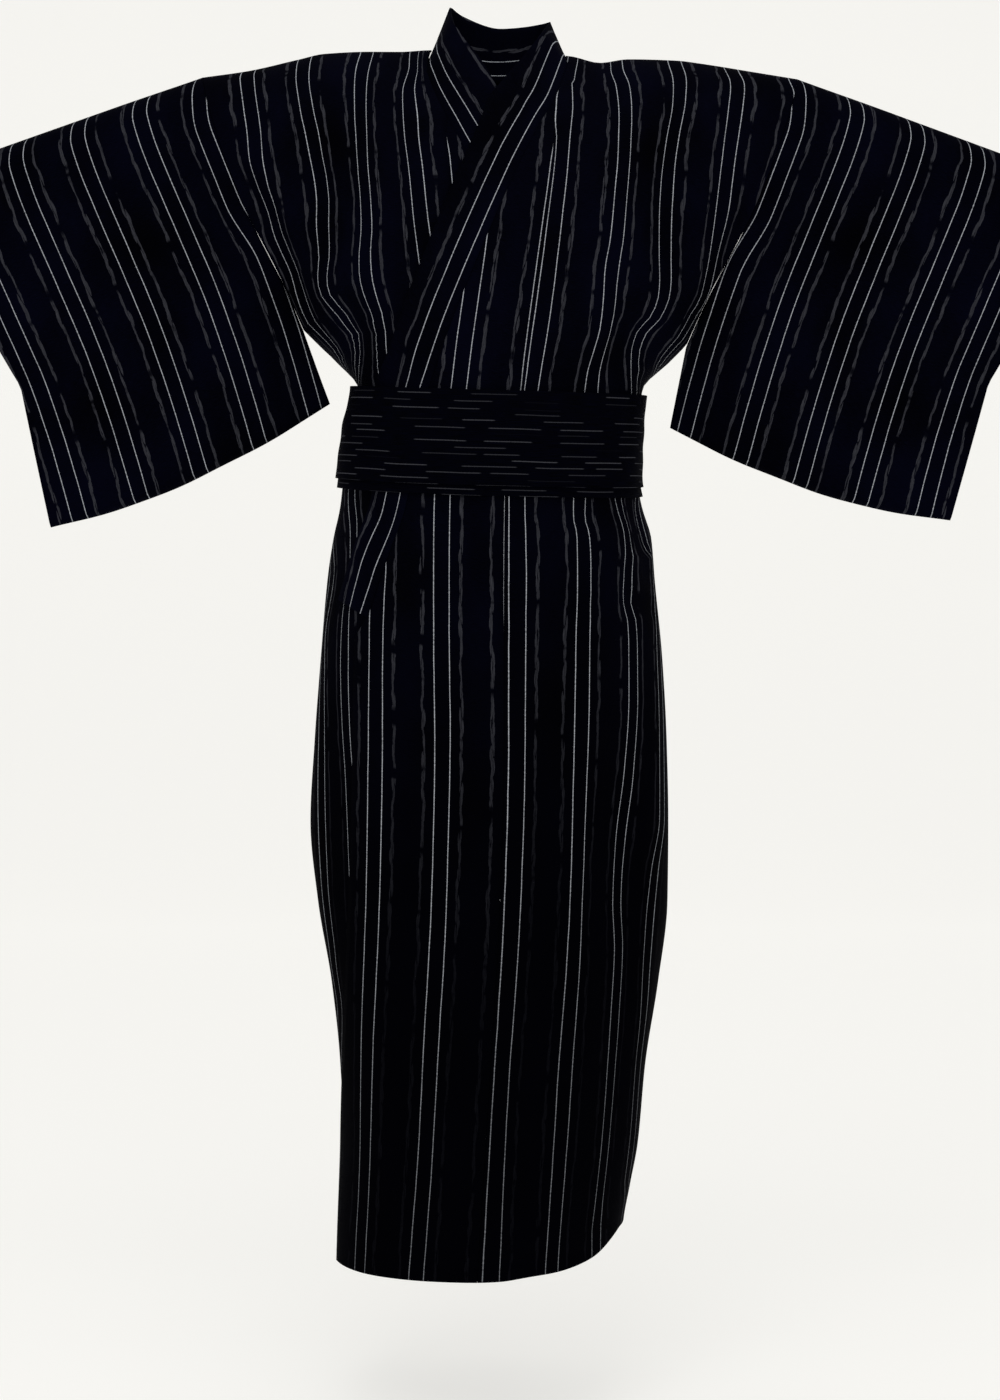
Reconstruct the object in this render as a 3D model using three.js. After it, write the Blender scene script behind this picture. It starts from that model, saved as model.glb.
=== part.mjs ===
// A man's summer kimono with its sash, standing in the pose it was worn in.
// Millimetres. +Z is up, the front faces -Y, +X is the wearer's left.
// The origin is the middle of the shoulder line at the neck, where a wearer holds the garment.
import * as THREE from "three";

const CLOTH = 2;
const COLLAR_CLOTH = 3;
const SASH_CLOTH = 2;
const SEAM = 0.2;
const LAYER = 5;
const WHOLE_TURN = Math.PI * 2;
const SIDE_SEAM = Math.PI / 2;
const DEGREE = Math.PI / 180;

// The photograph's scale where Y is 0, and its eye.
const PICTURE = { mmPerPixel: 1.18, middleX: 500, middleY: 700, eyeBack: 2400, eyeUp: -761 };

// Sections of the body below the armpits, measured to the inner layer of cloth.
const RING = [
  { z: -1420, left: 191, right: 139, front: 146, back: 149, power: 2.2 },
  { z: -1375, left: 189, right: 140, front: 142, back: 144, power: 2.2 },
  { z: -1328, left: 186, right: 148, front: 137, back: 138, power: 2.2 },
  { z: -1280, left: 184, right: 157, front: 132, back: 130, power: 2.25 },
  { z: -1186, left: 188, right: 166, front: 123, back: 118, power: 2.3 },
  { z: -1091, left: 198, right: 181, front: 116, back: 110, power: 2.35 },
  { z: -997, left: 214, right: 192, front: 112, back: 106, power: 2.4 },
  { z: -903, left: 223, right: 193, front: 112, back: 105, power: 2.4 },
  { z: -808, left: 218, right: 191, front: 116, back: 112, power: 2.4 },
  { z: -714, left: 211, right: 186, front: 122, back: 121, power: 2.35 },
  { z: -620, left: 203, right: 177, front: 127, back: 123, power: 2.3 },
  { z: -572, left: 196, right: 173, front: 129, back: 119, power: 2.3 },
  { z: -535, left: 188, right: 162, front: 130, back: 113, power: 2.3 },
  { z: -500, left: 184, right: 156, front: 130, back: 110, power: 2.3 },
  { z: -440, left: 176, right: 158, front: 127, back: 109, power: 2.3 },
  { z: -395, left: 167, right: 163, front: 125, back: 109, power: 2.3 },
  { z: -360, left: 195, right: 197, front: 124, back: 110, power: 2.3 },
  { z: -340, left: 216, right: 216, front: 124, back: 111, power: 2.3 },
  { z: -324, left: 232, right: 226, front: 124, back: 112, power: 2.3 },
  { z: 20, left: 232, right: 226, front: 124, back: 112, power: 2.3 },
];

// Each armhole: its corners, and its line from the armpit (at 0) to the shoulder (at 1).
const ARMHOLE = {
  left: { armpitX: 232, armpitZ: -324, shoulderX: 348, shoulderZ: -29 },
  right: { armpitX: 216, armpitZ: -340, shoulderX: 343, shoulderZ: -31 },
};
const ARMHOLE_LINE = [
  { rise: 0, across: 0, depth: 0 },
  { rise: 0.18, across: 0.2, depth: 26 },
  { rise: 0.49, across: 0.59, depth: 50 },
  { rise: 0.83, across: 0.89, depth: 60 },
  { rise: 1, across: 1, depth: 62 },
];

// The top line of the shoulders, from the neck out.
const SHOULDER_LINE = [
  { x: 0, left: 3, right: 3 },
  { x: 82, left: 5, right: -2 },
  { x: 118, left: 3, right: -10 },
  { x: 150, left: 3, right: -6 },
  { x: 206, left: 0, right: -8 },
  { x: 236, left: -7, right: -12 },
  { x: 295, left: -21, right: -22 },
  { x: 348, left: -29, right: -31 },
];
// How fast the cloth falls away from that line, front and back.
const SHOULDER_FALL = [
  { x: 0, front: 110, back: 45 },
  { x: 90, front: 108, back: 45 },
  { x: 220, front: 62, back: 40 },
  { x: 348, front: 26, back: 26 },
];
const FALL_ROUND = 12;

// The hem lifts towards the wearer's left.
const HEM = -1410;
const HEM_LIFT = [
  { x: -200, front: 0, back: 0 },
  { x: -2, front: 5, back: 0 },
  { x: 37, front: 10, back: 2 },
  { x: 72, front: 14, back: 10 },
  { x: 104, front: 21, back: 22 },
  { x: 138, front: 42, back: 42 },
];

// Seams where the photograph shows them, in its pixels.
// The left front crosses over: its inner edge is the collar seam, then the overlap seam.
const LEFT_FRONT_EDGE = [
  { px: 569, py: 60 },
  { px: 563, py: 78 },
  { px: 556, py: 98 },
  { px: 553, py: 150 },
  { px: 547, py: 200 },
  { px: 540, py: 250 },
  { px: 533, py: 300 },
  { px: 526, py: 350 },
  { px: 520, py: 400 },
  { px: 505, py: 497 },
  { px: 504, py: 600 },
  { px: 504, py: 740 },
  { px: 500, py: 900 },
  { px: 491, py: 1060 },
  { px: 481, py: 1220 },
  { px: 474, py: 1330 },
];
const RIGHT_FRONT_EDGE = [
  { px: 424, py: 64 },
  { px: 434, py: 92 },
  { px: 443, py: 113 },
  { px: 448, py: 150 },
  { px: 453, py: 200 },
  { px: 460, py: 250 },
  { px: 467, py: 300 },
  { px: 474, py: 350 },
  { px: 480, py: 400 },
  { px: 494, py: 497 },
  { px: 496, py: 740 },
  { px: 500, py: 900 },
  { px: 508, py: 1060 },
  { px: 519, py: 1220 },
  { px: 526, py: 1330 },
];
// The free edges of the overlaps below the ends of the collar.
const LEFT_OVERLAP_EDGE = [
  { px: 356, py: 641 },
  { px: 354, py: 700 },
  { px: 353, py: 777 },
  { px: 351, py: 863 },
  { px: 345, py: 1014 },
  { px: 341, py: 1140 },
  { px: 336, py: 1330 },
];
const RIGHT_OVERLAP_EDGE = [
  { px: 639, py: 641 },
  { px: 640, py: 700 },
  { px: 641, py: 777 },
  { px: 642, py: 863 },
  { px: 640, py: 1014 },
  { px: 629, py: 1140 },
  { px: 612, py: 1330 },
];

// The collar band in two halves, from its ends up to the neck.
// lie is 1 where the band lies flat on the front and 0 where it stands round the neck;
// freeY is where its free edge stands there.
const LEFT_COLLAR = [
  { freePx: 338, freePy: 600, seamPx: 367, seamPy: 618, lie: 1, freeY: 0 },
  { freePx: 348, freePy: 564, seamPx: 379, seamPy: 581, lie: 1, freeY: 0 },
  { freePx: 359, freePy: 531, seamPx: 392, seamPy: 545, lie: 1, freeY: 0 },
  { freePx: 371, freePy: 497, seamPx: 405, seamPy: 508, lie: 1, freeY: 0 },
  { freePx: 374, freePy: 440, seamPx: 415, seamPy: 452, lie: 1, freeY: 0 },
  { freePx: 375, freePy: 389, seamPx: 424, seamPy: 402, lie: 1, freeY: 0 },
  { freePx: 388, freePy: 350, seamPx: 436, seamPy: 365, lie: 1, freeY: 0 },
  { freePx: 405, freePy: 300, seamPx: 453, seamPy: 316, lie: 1, freeY: 0 },
  { freePx: 419, freePy: 265, seamPx: 467, seamPy: 282, lie: 1, freeY: 0 },
  { freePx: 431, freePy: 234, seamPx: 480, seamPy: 251, lie: 1, freeY: 0 },
  { freePx: 455, freePy: 177, seamPx: 503, seamPy: 198, lie: 1, freeY: 0 },
  { freePx: 475, freePy: 132, seamPx: 523, seamPy: 155, lie: 1, freeY: 0 },
  { freePx: 494, freePy: 88, seamPx: 542, seamPy: 119, lie: 0.9, freeY: -72 },
  { freePx: 509, freePy: 70, seamPx: 555, seamPy: 98, lie: 0.5, freeY: -64 },
  { freePx: 527, freePy: 50, seamPx: 563, seamPy: 78, lie: 0.2, freeY: -49 },
  { freePx: 544, freePy: 30, seamPx: 569, seamPy: 60, lie: 0, freeY: -25 },
];
const RIGHT_COLLAR = [
  { freePx: 646, freePy: 590, seamPx: 618, seamPy: 610, lie: 1, freeY: 0 },
  { freePx: 643, freePy: 562, seamPx: 610, seamPy: 576, lie: 1, freeY: 0 },
  { freePx: 635, freePy: 531, seamPx: 601, seamPy: 544, lie: 1, freeY: 0 },
  { freePx: 624, freePy: 497, seamPx: 589, seamPy: 508, lie: 1, freeY: 0 },
  { freePx: 622, freePy: 440, seamPx: 581, seamPy: 452, lie: 1, freeY: 0 },
  { freePx: 620, freePy: 389, seamPx: 572, seamPy: 402, lie: 1, freeY: 0 },
  { freePx: 609, freePy: 350, seamPx: 561, seamPy: 365, lie: 1, freeY: 0 },
  { freePx: 593, freePy: 300, seamPx: 545, seamPy: 316, lie: 1, freeY: 0 },
  { freePx: 569, freePy: 234, seamPx: 520, seamPy: 251, lie: 1, freeY: 0 },
  { freePx: 546, freePy: 177, seamPx: 496, seamPy: 203, lie: 1, freeY: 0 },
  { freePx: 520, freePy: 122, seamPx: 470, seamPy: 158, lie: 1, freeY: 0 },
  { freePx: 498, freePy: 86, seamPx: 452, seamPy: 125, lie: 0.9, freeY: -66 },
  { freePx: 483, freePy: 60, seamPx: 443, seamPy: 108, lie: 0.5, freeY: -57 },
  { freePx: 467, freePy: 40, seamPx: 434, seamPy: 90, lie: 0.2, freeY: -44 },
  { freePx: 451, freePy: 20, seamPx: 425, seamPy: 66, lie: 0, freeY: -20 },
];
// The neck edge behind the shoulder line, and the free edge of the collar that stands on it.
const NECK = { left: { half: 85, sink: 20 }, right: { half: 82, sink: 13 } };
const COLLAR_STAND = [
  { round: -1, x: -63, y: 14, z: 64 },
  { round: -0.5, x: -45, y: 46, z: 60 },
  { round: 0, x: 0, y: 62, z: 50 },
  { round: 0.5, x: 46, y: 46, z: 50 },
  { round: 1, x: 63, y: 14, z: 45 },
];

// Sleeves, in the photograph's pixels: the hanging inner edge, the cuff and the closed part.
const SLEEVE = {
  left: {
    innerHang: [{ px: 303, py: 330 }, { px: 321, py: 380 }, { px: 330, py: 404 }],
    cuffTop: { px: -90, py: 183 },
    cuffFoot: { px: 22, py: 388 },
    outerFoot: { px: 52, py: 528 },
  },
  right: {
    innerHang: [{ px: 687, py: 343 }, { px: 676, py: 398 }, { px: 670, py: 428 }],
    cuffTop: { px: 1092, py: 190 },
    cuffFoot: { px: 987, py: 385 },
    outerFoot: { px: 949, py: 521 },
  },
};
const SLEEVE_HANG = 0.2;
const SLEEVE_CLOSED = 0.38;
const SLEEVE_DEEP = 470;
const SLEEVE_BOW = 19;
const ARM = { radiusIn: 62, radiusOut: 44, cuffOpen: 27, bag: 9 };

const SASH = {
  width: 107, firstTurn: 8.8, turnStep: 3, stagger: 11, back: 3.2, endWidth: 52, endThick: 3,
};
const KNOT = { x: 0, z: -436, across: 36, high: 32, deep: 6.2, out: 12.2, tilt: 24 * DEGREE };

// Rows and columns of the cloth grids.
const SHOULDER_ROWS = [0, 0.6, 1.2, 1.8, 2.4, 3.1, 4, 5, 6, 7, 8, 9, 10, 11, 12];
const ROWS_SHOULDER = SHOULDER_ROWS.length - 1;
const ROWS_SKIRT = [-360, -380, -397, -420, -460, -500, -530, -555, -590, -634, -664, -684, -725,
  -775, -840, -903, -970, -1040, -1110, -1186, -1250, -1310, -1365, HEM];
const COLUMNS_BODY = 9;
const OVERLAP_TOP = { left: 7.8, right: 7.4, whole: 8 };

function clamp(v, low, high) {
  return Math.min(Math.max(v, low), high);
}

function mix(a, b, t) {
  return a + (b - a) * t;
}

function ease(t) {
  const s = clamp(t, 0, 1);
  return s * s * (3 - 2 * s);
}

// A smooth curve through two columns of a table that keeps between its neighbours.
function curve(table, from, to) {
  const rows = [...table].sort((a, b) => a[from] - b[from]);
  const xs = rows.map((r) => r[from]);
  const ys = rows.map((r) => r[to]);
  const last = xs.length - 1;
  const slopes = xs.slice(1).map((x, i) => (ys[i + 1] - ys[i]) / (x - xs[i]));
  const tangents = xs.map((x, i) => {
    if (i === 0) return slopes[0];
    if (i === last) return slopes[last - 1];
    if (slopes[i - 1] * slopes[i] <= 0) return 0;
    return (2 * slopes[i - 1] * slopes[i]) / (slopes[i - 1] + slopes[i]);
  });
  return (x) => {
    if (x <= xs[0]) return ys[0];
    if (x >= xs[last]) return ys[last];
    let i = 0;
    while (x > xs[i + 1]) i += 1;
    const h = xs[i + 1] - xs[i];
    const t = (x - xs[i]) / h;
    const s = 1 - t;
    return ys[i] * (1 + 2 * t) * s * s + ys[i + 1] * (3 - 2 * t) * t * t
      + h * (tangents[i] * t * s * s - tangents[i + 1] * t * t * s);
  };
}

const ringLeft = curve(RING, "z", "left");
const ringRight = curve(RING, "z", "right");
const ringFront = curve(RING, "z", "front");
const ringBack = curve(RING, "z", "back");
const ringPower = curve(RING, "z", "power");
const armholeAcross = curve(ARMHOLE_LINE, "rise", "across");
const armholeDepth = curve(ARMHOLE_LINE, "rise", "depth");
const topLeft = curve(SHOULDER_LINE, "x", "left");
const topRight = curve(SHOULDER_LINE, "x", "right");
const fallFront = curve(SHOULDER_FALL, "x", "front");
const fallBack = curve(SHOULDER_FALL, "x", "back");
const liftFront = curve(HEM_LIFT, "x", "front");
const liftBack = curve(HEM_LIFT, "x", "back");

function sideOf(x) {
  return x < 0 ? "left" : "right";
}

function topLine(x) {
  return x < 0 ? topLeft(-x) : topRight(x);
}

function rise(side, z) {
  const hole = ARMHOLE[side];
  return clamp((z - hole.armpitZ) / (hole.shoulderZ - hole.armpitZ), 0, 1);
}

// Half the width of the garment on one side of X 0, at a height and a layer.
function halfWidth(side, z, layer) {
  const hole = ARMHOLE[side];
  if (z > hole.armpitZ) {
    return mix(hole.armpitX, hole.shoulderX, armholeAcross(rise(side, z))) + layer;
  }
  return (side === "left" ? ringLeft(z) : ringRight(z)) + layer;
}

// How far in front of Y 0, or behind it, the cloth stands at a place.
function depthAt(face, x, z, layer) {
  const side = sideOf(x);
  const part = clamp(Math.abs(x) / halfWidth(side, z, layer), 0, 1);
  const up = rise(side, z);
  const arm = armholeDepth(up);
  const full = (face < 0 ? ringFront(z) : ringBack(z)) + layer;
  const power = ringPower(z);
  const round = (1 - part ** power) ** (1 / power);
  const flat = 1 - part ** 2.6;
  const across = mix(round, flat, ease(up / 0.3));
  const drop = Math.max(topLine(x) - z, 0);
  const fall = face < 0 ? fallFront(Math.abs(x)) : fallBack(Math.abs(x));
  const fallen = 1 - Math.exp(-Math.sqrt(drop * drop + 2 * FALL_ROUND * drop) / fall);
  return mix(arm, full, across) * mix(1, fallen, ease((z + 420) / 90));
}

// A point on the front where the photograph shows it.
function seen(at, layer) {
  let y = -110;
  let x = 0;
  let z = 0;
  for (let turn = 0; turn < 8; turn += 1) {
    const scale = (PICTURE.mmPerPixel * (PICTURE.eyeBack + y)) / PICTURE.eyeBack;
    x = (at.px - PICTURE.middleX) * scale;
    z = PICTURE.eyeUp - (at.py - PICTURE.middleY) * scale;
    y = -depthAt(-1, x, z, layer);
  }
  return { x, y, z };
}

function seenAtDepth(at, y) {
  const scale = (PICTURE.mmPerPixel * (PICTURE.eyeBack + y)) / PICTURE.eyeBack;
  return {
    x: (at.px - PICTURE.middleX) * scale,
    y,
    z: PICTURE.eyeUp - (at.py - PICTURE.middleY) * scale,
  };
}

// Where a seam in the photograph runs: X at each height.
function seamLine(table, layer, first = []) {
  return curve([...first, ...table.map((at) => seen(at, layer))], "z", "x");
}

const leftFrontEdge = seamLine(LEFT_FRONT_EDGE, LAYER, [{ x: NECK.right.half, z: topLine(82) }]);
const rightFrontEdge = seamLine(RIGHT_FRONT_EDGE, 0, [{ x: -NECK.left.half, z: topLine(-85) }]);
const collarSeam = (table) => table.map((s) => ({ px: s.seamPx, py: s.seamPy }));
const leftOverlapEdge = seamLine(
  [...collarSeam(LEFT_COLLAR.filter((s) => s.lie > 0.4)), ...LEFT_OVERLAP_EDGE], LAYER);
const rightOverlapEdge = seamLine(
  [...collarSeam(RIGHT_COLLAR.filter((s) => s.lie > 0.4)), ...RIGHT_OVERLAP_EDGE], 0);

// A closed sheet of cloth: a grid of points on its outside, and the same grid a thickness in.
// away(i, j, p) points out of the garment; trim may turn the normal at a seam.
function sheet(name, rows, columns, at, thick, options) {
  const { round = false, away, trim } = options;
  const points = [];
  for (let i = 0; i < rows; i += 1) {
    for (let j = 0; j < columns; j += 1) points.push(new THREE.Vector3(...at(i, j)));
  }
  const wrap = (j) => (round ? (j + columns) % columns : clamp(j, 0, columns - 1));
  const point = (i, j) => points[clamp(i, 0, rows - 1) * columns + wrap(j)];
  const normals = points.map((p, k) => {
    const i = Math.floor(k / columns);
    const j = k % columns;
    const along = point(i + 1, j).clone().sub(point(i - 1, j));
    const across = point(i, j + 1).clone().sub(point(i, j - 1));
    return along.cross(across).normalize();
  });
  const facing = normals.reduce((sum, n, k) => {
    const out = away(Math.floor(k / columns), k % columns, points[k]);
    return sum + n.dot(new THREE.Vector3(...out));
  }, 0);
  const sign = facing < 0 ? -1 : 1;
  normals.forEach((n, k) => {
    n.multiplyScalar(sign);
    if (trim) trim(Math.floor(k / columns), k % columns, n);
    n.normalize();
  });
  const positions = [];
  points.forEach((p) => positions.push(p.x, p.y, p.z));
  points.forEach((p, k) => {
    const inner = p.clone().addScaledVector(normals[k], -thick);
    positions.push(inner.x, inner.y, inner.z);
  });
  const faces = [];
  const quad = (a, b, c, d) => {
    if (sign > 0) faces.push(a, b, c, a, c, d);
    else faces.push(a, c, b, a, d, c);
  };
  const inside = rows * columns;
  const id = (i, j) => i * columns + wrap(j);
  const lastColumn = round ? columns : columns - 1;
  for (let i = 0; i < rows - 1; i += 1) {
    for (let j = 0; j < lastColumn; j += 1) {
      quad(id(i, j), id(i + 1, j), id(i + 1, j + 1), id(i, j + 1));
      quad(inside + id(i, j), inside + id(i, j + 1), inside + id(i + 1, j + 1), inside + id(i + 1, j));
    }
  }
  for (let j = 0; j < lastColumn; j += 1) {
    quad(id(0, j), id(0, j + 1), inside + id(0, j + 1), inside + id(0, j));
    const end = rows - 1;
    quad(id(end, j + 1), id(end, j), inside + id(end, j), inside + id(end, j + 1));
  }
  if (!round) {
    const edge = columns - 1;
    for (let i = 0; i < rows - 1; i += 1) {
      quad(id(i + 1, 0), id(i, 0), inside + id(i, 0), inside + id(i + 1, 0));
      quad(id(i, edge), id(i + 1, edge), inside + id(i + 1, edge), inside + id(i, edge));
    }
  }
  const geometry = new THREE.BufferGeometry();
  geometry.setAttribute("position", new THREE.Float32BufferAttribute(positions, 3));
  geometry.setIndex(faces);
  geometry.computeVertexNormals();
  const mesh = new THREE.Mesh(geometry, new THREE.MeshStandardMaterial({ side: THREE.DoubleSide }));
  mesh.name = name;
  return mesh;
}

function signedPower(v, p) {
  return Math.sign(v) * Math.abs(v) ** p;
}

// The turn round the body (0 at the front, a quarter at the side seam) of a place X.
function turnOf(x, z, layer) {
  const part = clamp(Math.abs(x) / halfWidth(sideOf(x), z, layer), 0, 1);
  return Math.sign(x) * Math.asin(part ** (ringPower(z) / 2));
}

function acrossAt(turn, z, layer) {
  const side = turn < 0 ? "left" : "right";
  return halfWidth(side, z, layer) * signedPower(Math.sin(turn), 2 / ringPower(z));
}

// How far down a shoulder row lies, from 0 on the shoulder line to 1 at the armpit.
function rowPart(row) {
  const from = Math.floor(row);
  const to = Math.min(from + 1, ROWS_SHOULDER);
  const value = mix(SHOULDER_ROWS[from], SHOULDER_ROWS[to], row - from);
  return (value / SHOULDER_ROWS[ROWS_SHOULDER]) ** 1.8;
}

// The height of a cloth row: the rows above the armpit follow the shoulder line, and the
// lowest ones the hem.
function rowHeight(side, face, row, x) {
  if (row > ROWS_SHOULDER) {
    const z = ROWS_SKIRT[row - ROWS_SHOULDER - 1];
    const lift = face < 0 ? liftFront(x) : liftBack(x);
    return z + lift * ease((-1090 - z) / 320);
  }
  return mix(topLine(x), ARMHOLE[side].armpitZ, rowPart(row));
}

const ROWS_FACE = ROWS_SHOULDER + 1 + ROWS_SKIRT.length;

// The end of a row at the armhole or side seam.
function rowEnd(side, row, layer) {
  const sign = side === "left" ? -1 : 1;
  let x = ARMHOLE[side].shoulderX + layer;
  for (let turn = 0; turn < 8; turn += 1) {
    x = halfWidth(side, rowHeight(side, -1, row, sign * x), layer);
  }
  return sign * x;
}

// The start of a row at a seam that gives X at each height.
function rowStart(side, face, row, line) {
  let x = 0;
  for (let turn = 0; turn < 12; turn += 1) x = line(rowHeight(side, face, row, x));
  return x;
}

// The neck edge on the back: X at a drop below the shoulder line.
function neckEdge(side, z) {
  const { half, sink } = NECK[side];
  const sign = side === "left" ? -1 : 1;
  const drop = clamp((topLine(sign * half) - z) / sink, 0, 1);
  return sign * half * Math.sqrt(1 - drop * drop);
}

// The layer a side panel lies in: the left one is outside, and eases in behind.
function panelLayer(side, face, turn) {
  if (side === "left") return 0;
  if (face < 0) return LAYER;
  return LAYER * (1 - ease((turn / DEGREE - 92) / 34));
}

// One body panel: a single length of cloth from the front hem over the shoulder to the back hem.
function bodyPanel(name, side) {
  const sign = side === "left" ? -1 : 1;
  const frontEdge = side === "left" ? rightFrontEdge : leftFrontEdge;
  const rows = ROWS_FACE * 2 - 1;
  const middle = ROWS_FACE - 1;
  const at = (i, j) => {
    const face = i <= middle ? -1 : 1;
    const row = Math.abs(i - middle);
    const endLayer = side === "left" ? 0 : LAYER;
    const end = rowEnd(side, row, endLayer);
    const edge = face < 0 ? frontEdge : (z) => neckEdge(side, z);
    const start = rowStart(side, face, row, edge) + sign * SEAM;
    const zStart = rowHeight(side, face, row, start);
    const zEnd = rowHeight(side, face, row, end);
    const power = ringPower(zEnd);
    const whole = Math.abs(end);
    const inner = start * sign < 0
      ? turnOf(start, zStart, endLayer) * sign
      : Math.asin(clamp(Math.abs(start) / whole, 0, 1) ** (power / 2));
    const turn = mix(inner, SIDE_SEAM, j / COLUMNS_BODY);
    let x = sign * whole * signedPower(Math.sin(turn), 2 / power);
    if (turn < 0) x = acrossAt(turn * sign, zStart, endLayer);
    const behind = face < 0 ? turn : Math.PI - turn;
    const layer = panelLayer(side, face, behind);
    if (face > 0) x = x * (halfWidth(sideOf(x), zEnd, layer) / whole);
    if (j === 0) x = start;
    if (j === COLUMNS_BODY) x = end;
    const z = rowHeight(side, face, row, x);
    const top = Math.max(topLine(x) - z, 0);
    const y = face * (depthAt(face, x, z, layer) + (SEAM + 0.1) * clamp(top / 20, 0, 1));
    return [x, row === 0 ? 0 : y, z];
  };
  return sheet(name, rows, COLUMNS_BODY + 1, at, CLOTH, {
    away: (i, j, p) => [p.x, p.y * 3, 0],
    trim: (i, j, n) => {
      const row = Math.abs(i - middle);
      if (j === COLUMNS_BODY && row >= ROWS_SHOULDER) n.y = 0;
      if (j === COLUMNS_BODY && row < ROWS_SHOULDER) n.x *= ease((row / ROWS_SHOULDER - 0.8) / 0.2);
      if (j === 0 && i > middle) n.x = 0;
    },
  });
}

// One overlap panel, between the front's seam and the collar or its own free edge.
function overlapPanel(name, side, frontEdge, freeEdge, layer, gap) {
  const sign = side === "left" ? -1 : 1;
  const columns = 6;
  const rows = ROWS_FACE - OVERLAP_TOP.whole + 1;
  const at = (i, j) => {
    const row = i === 0 ? OVERLAP_TOP[side] : OVERLAP_TOP.whole + i - 1;
    const start = rowStart(side, -1, row, frontEdge) - sign * SEAM;
    const end = rowStart(side, -1, row, freeEdge) + sign * gap;
    const height = rowHeight(side, -1, row, end);
    const turn = mix(turnOf(start, height, layer), turnOf(end, height, layer), j / columns);
    let x = acrossAt(turn, height, layer);
    if (j === 0) x = start;
    const z = rowHeight(side, -1, row, x);
    return [x, -depthAt(-1, x, z, layer) - SEAM - 0.1, z];
  };
  return sheet(name, rows, columns + 1, at, CLOTH, { away: () => [0, -1, 0] });
}

// A half of the collar as stations: its seam edge and its free edge.
function collarStations(table, layer, steps) {
  const index = table.map((s, k) => ({ k, ...s }));
  const read = (key) => curve(index, "k", key);
  const [freePx, freePy, seamPx, seamPy, lie, freeY] = [
    "freePx", "freePy", "seamPx", "seamPy", "lie", "freeY"].map(read);
  return Array.from({ length: steps }, (unused, n) => {
    const k = (n / (steps - 1)) * (table.length - 1);
    const flat = lie(k);
    const seam = seen({ px: seamPx(k), py: seamPy(k) }, layer);
    const free = flat > 0.95
      ? seen({ px: freePx(k), py: freePy(k) }, layer)
      : seenAtDepth({ px: freePx(k), py: freePy(k) }, freeY(k) - layer * 0.8);
    return { seam, free, flat: flat > 0.95 ? 1 : flat * 0.8, layer };
  });
}

function collar() {
  const left = collarStations(LEFT_COLLAR, LAYER + 1, 26);
  const right = collarStations(RIGHT_COLLAR, 1, 24);
  const stand = ["x", "y", "z"].map((key) => curve(COLLAR_STAND, "round", key));
  const neck = [];
  const steps = 11;
  for (let n = 0; n < steps; n += 1) {
    const round = 1 - (2 * n) / (steps - 1);
    const { half, sink } = round < 0 ? NECK.left : NECK.right;
    const turn = round * SIDE_SEAM;
    const x = half * Math.sin(turn);
    const z = topLine(Math.sign(round) * half) - sink * Math.cos(turn);
    const y = depthAt(1, x, z, 0) + 0.3;
    neck.push({
      seam: { x: x * 0.985, y: Math.abs(round) === 1 ? 0 : y, z: (round ? z : -15) + 1.9 },
      free: { x: stand[0](round), y: stand[1](round), z: stand[2](round) },
      flat: 0,
      layer: 1,
    });
  }
  const stations = [...left, ...neck, ...right.reverse()];
  const columns = 3;
  const at = (i, j) => {
    const { seam, free, flat, layer } = stations[i];
    const t = j / columns;
    const x = mix(seam.x, free.x, t);
    const z = mix(seam.z, free.z, t);
    const y = mix(seam.y, free.y, t);
    if (flat < 0.05) return [x, y, z];
    return [x, mix(y, -depthAt(-1, x, z, layer), flat), z];
  };
  return sheet("collar", stations.length, columns + 1, at, COLLAR_CLOTH, {
    away: (i, j, p) => [p.x * 0.2, p.y, 0],
  });
}

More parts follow.
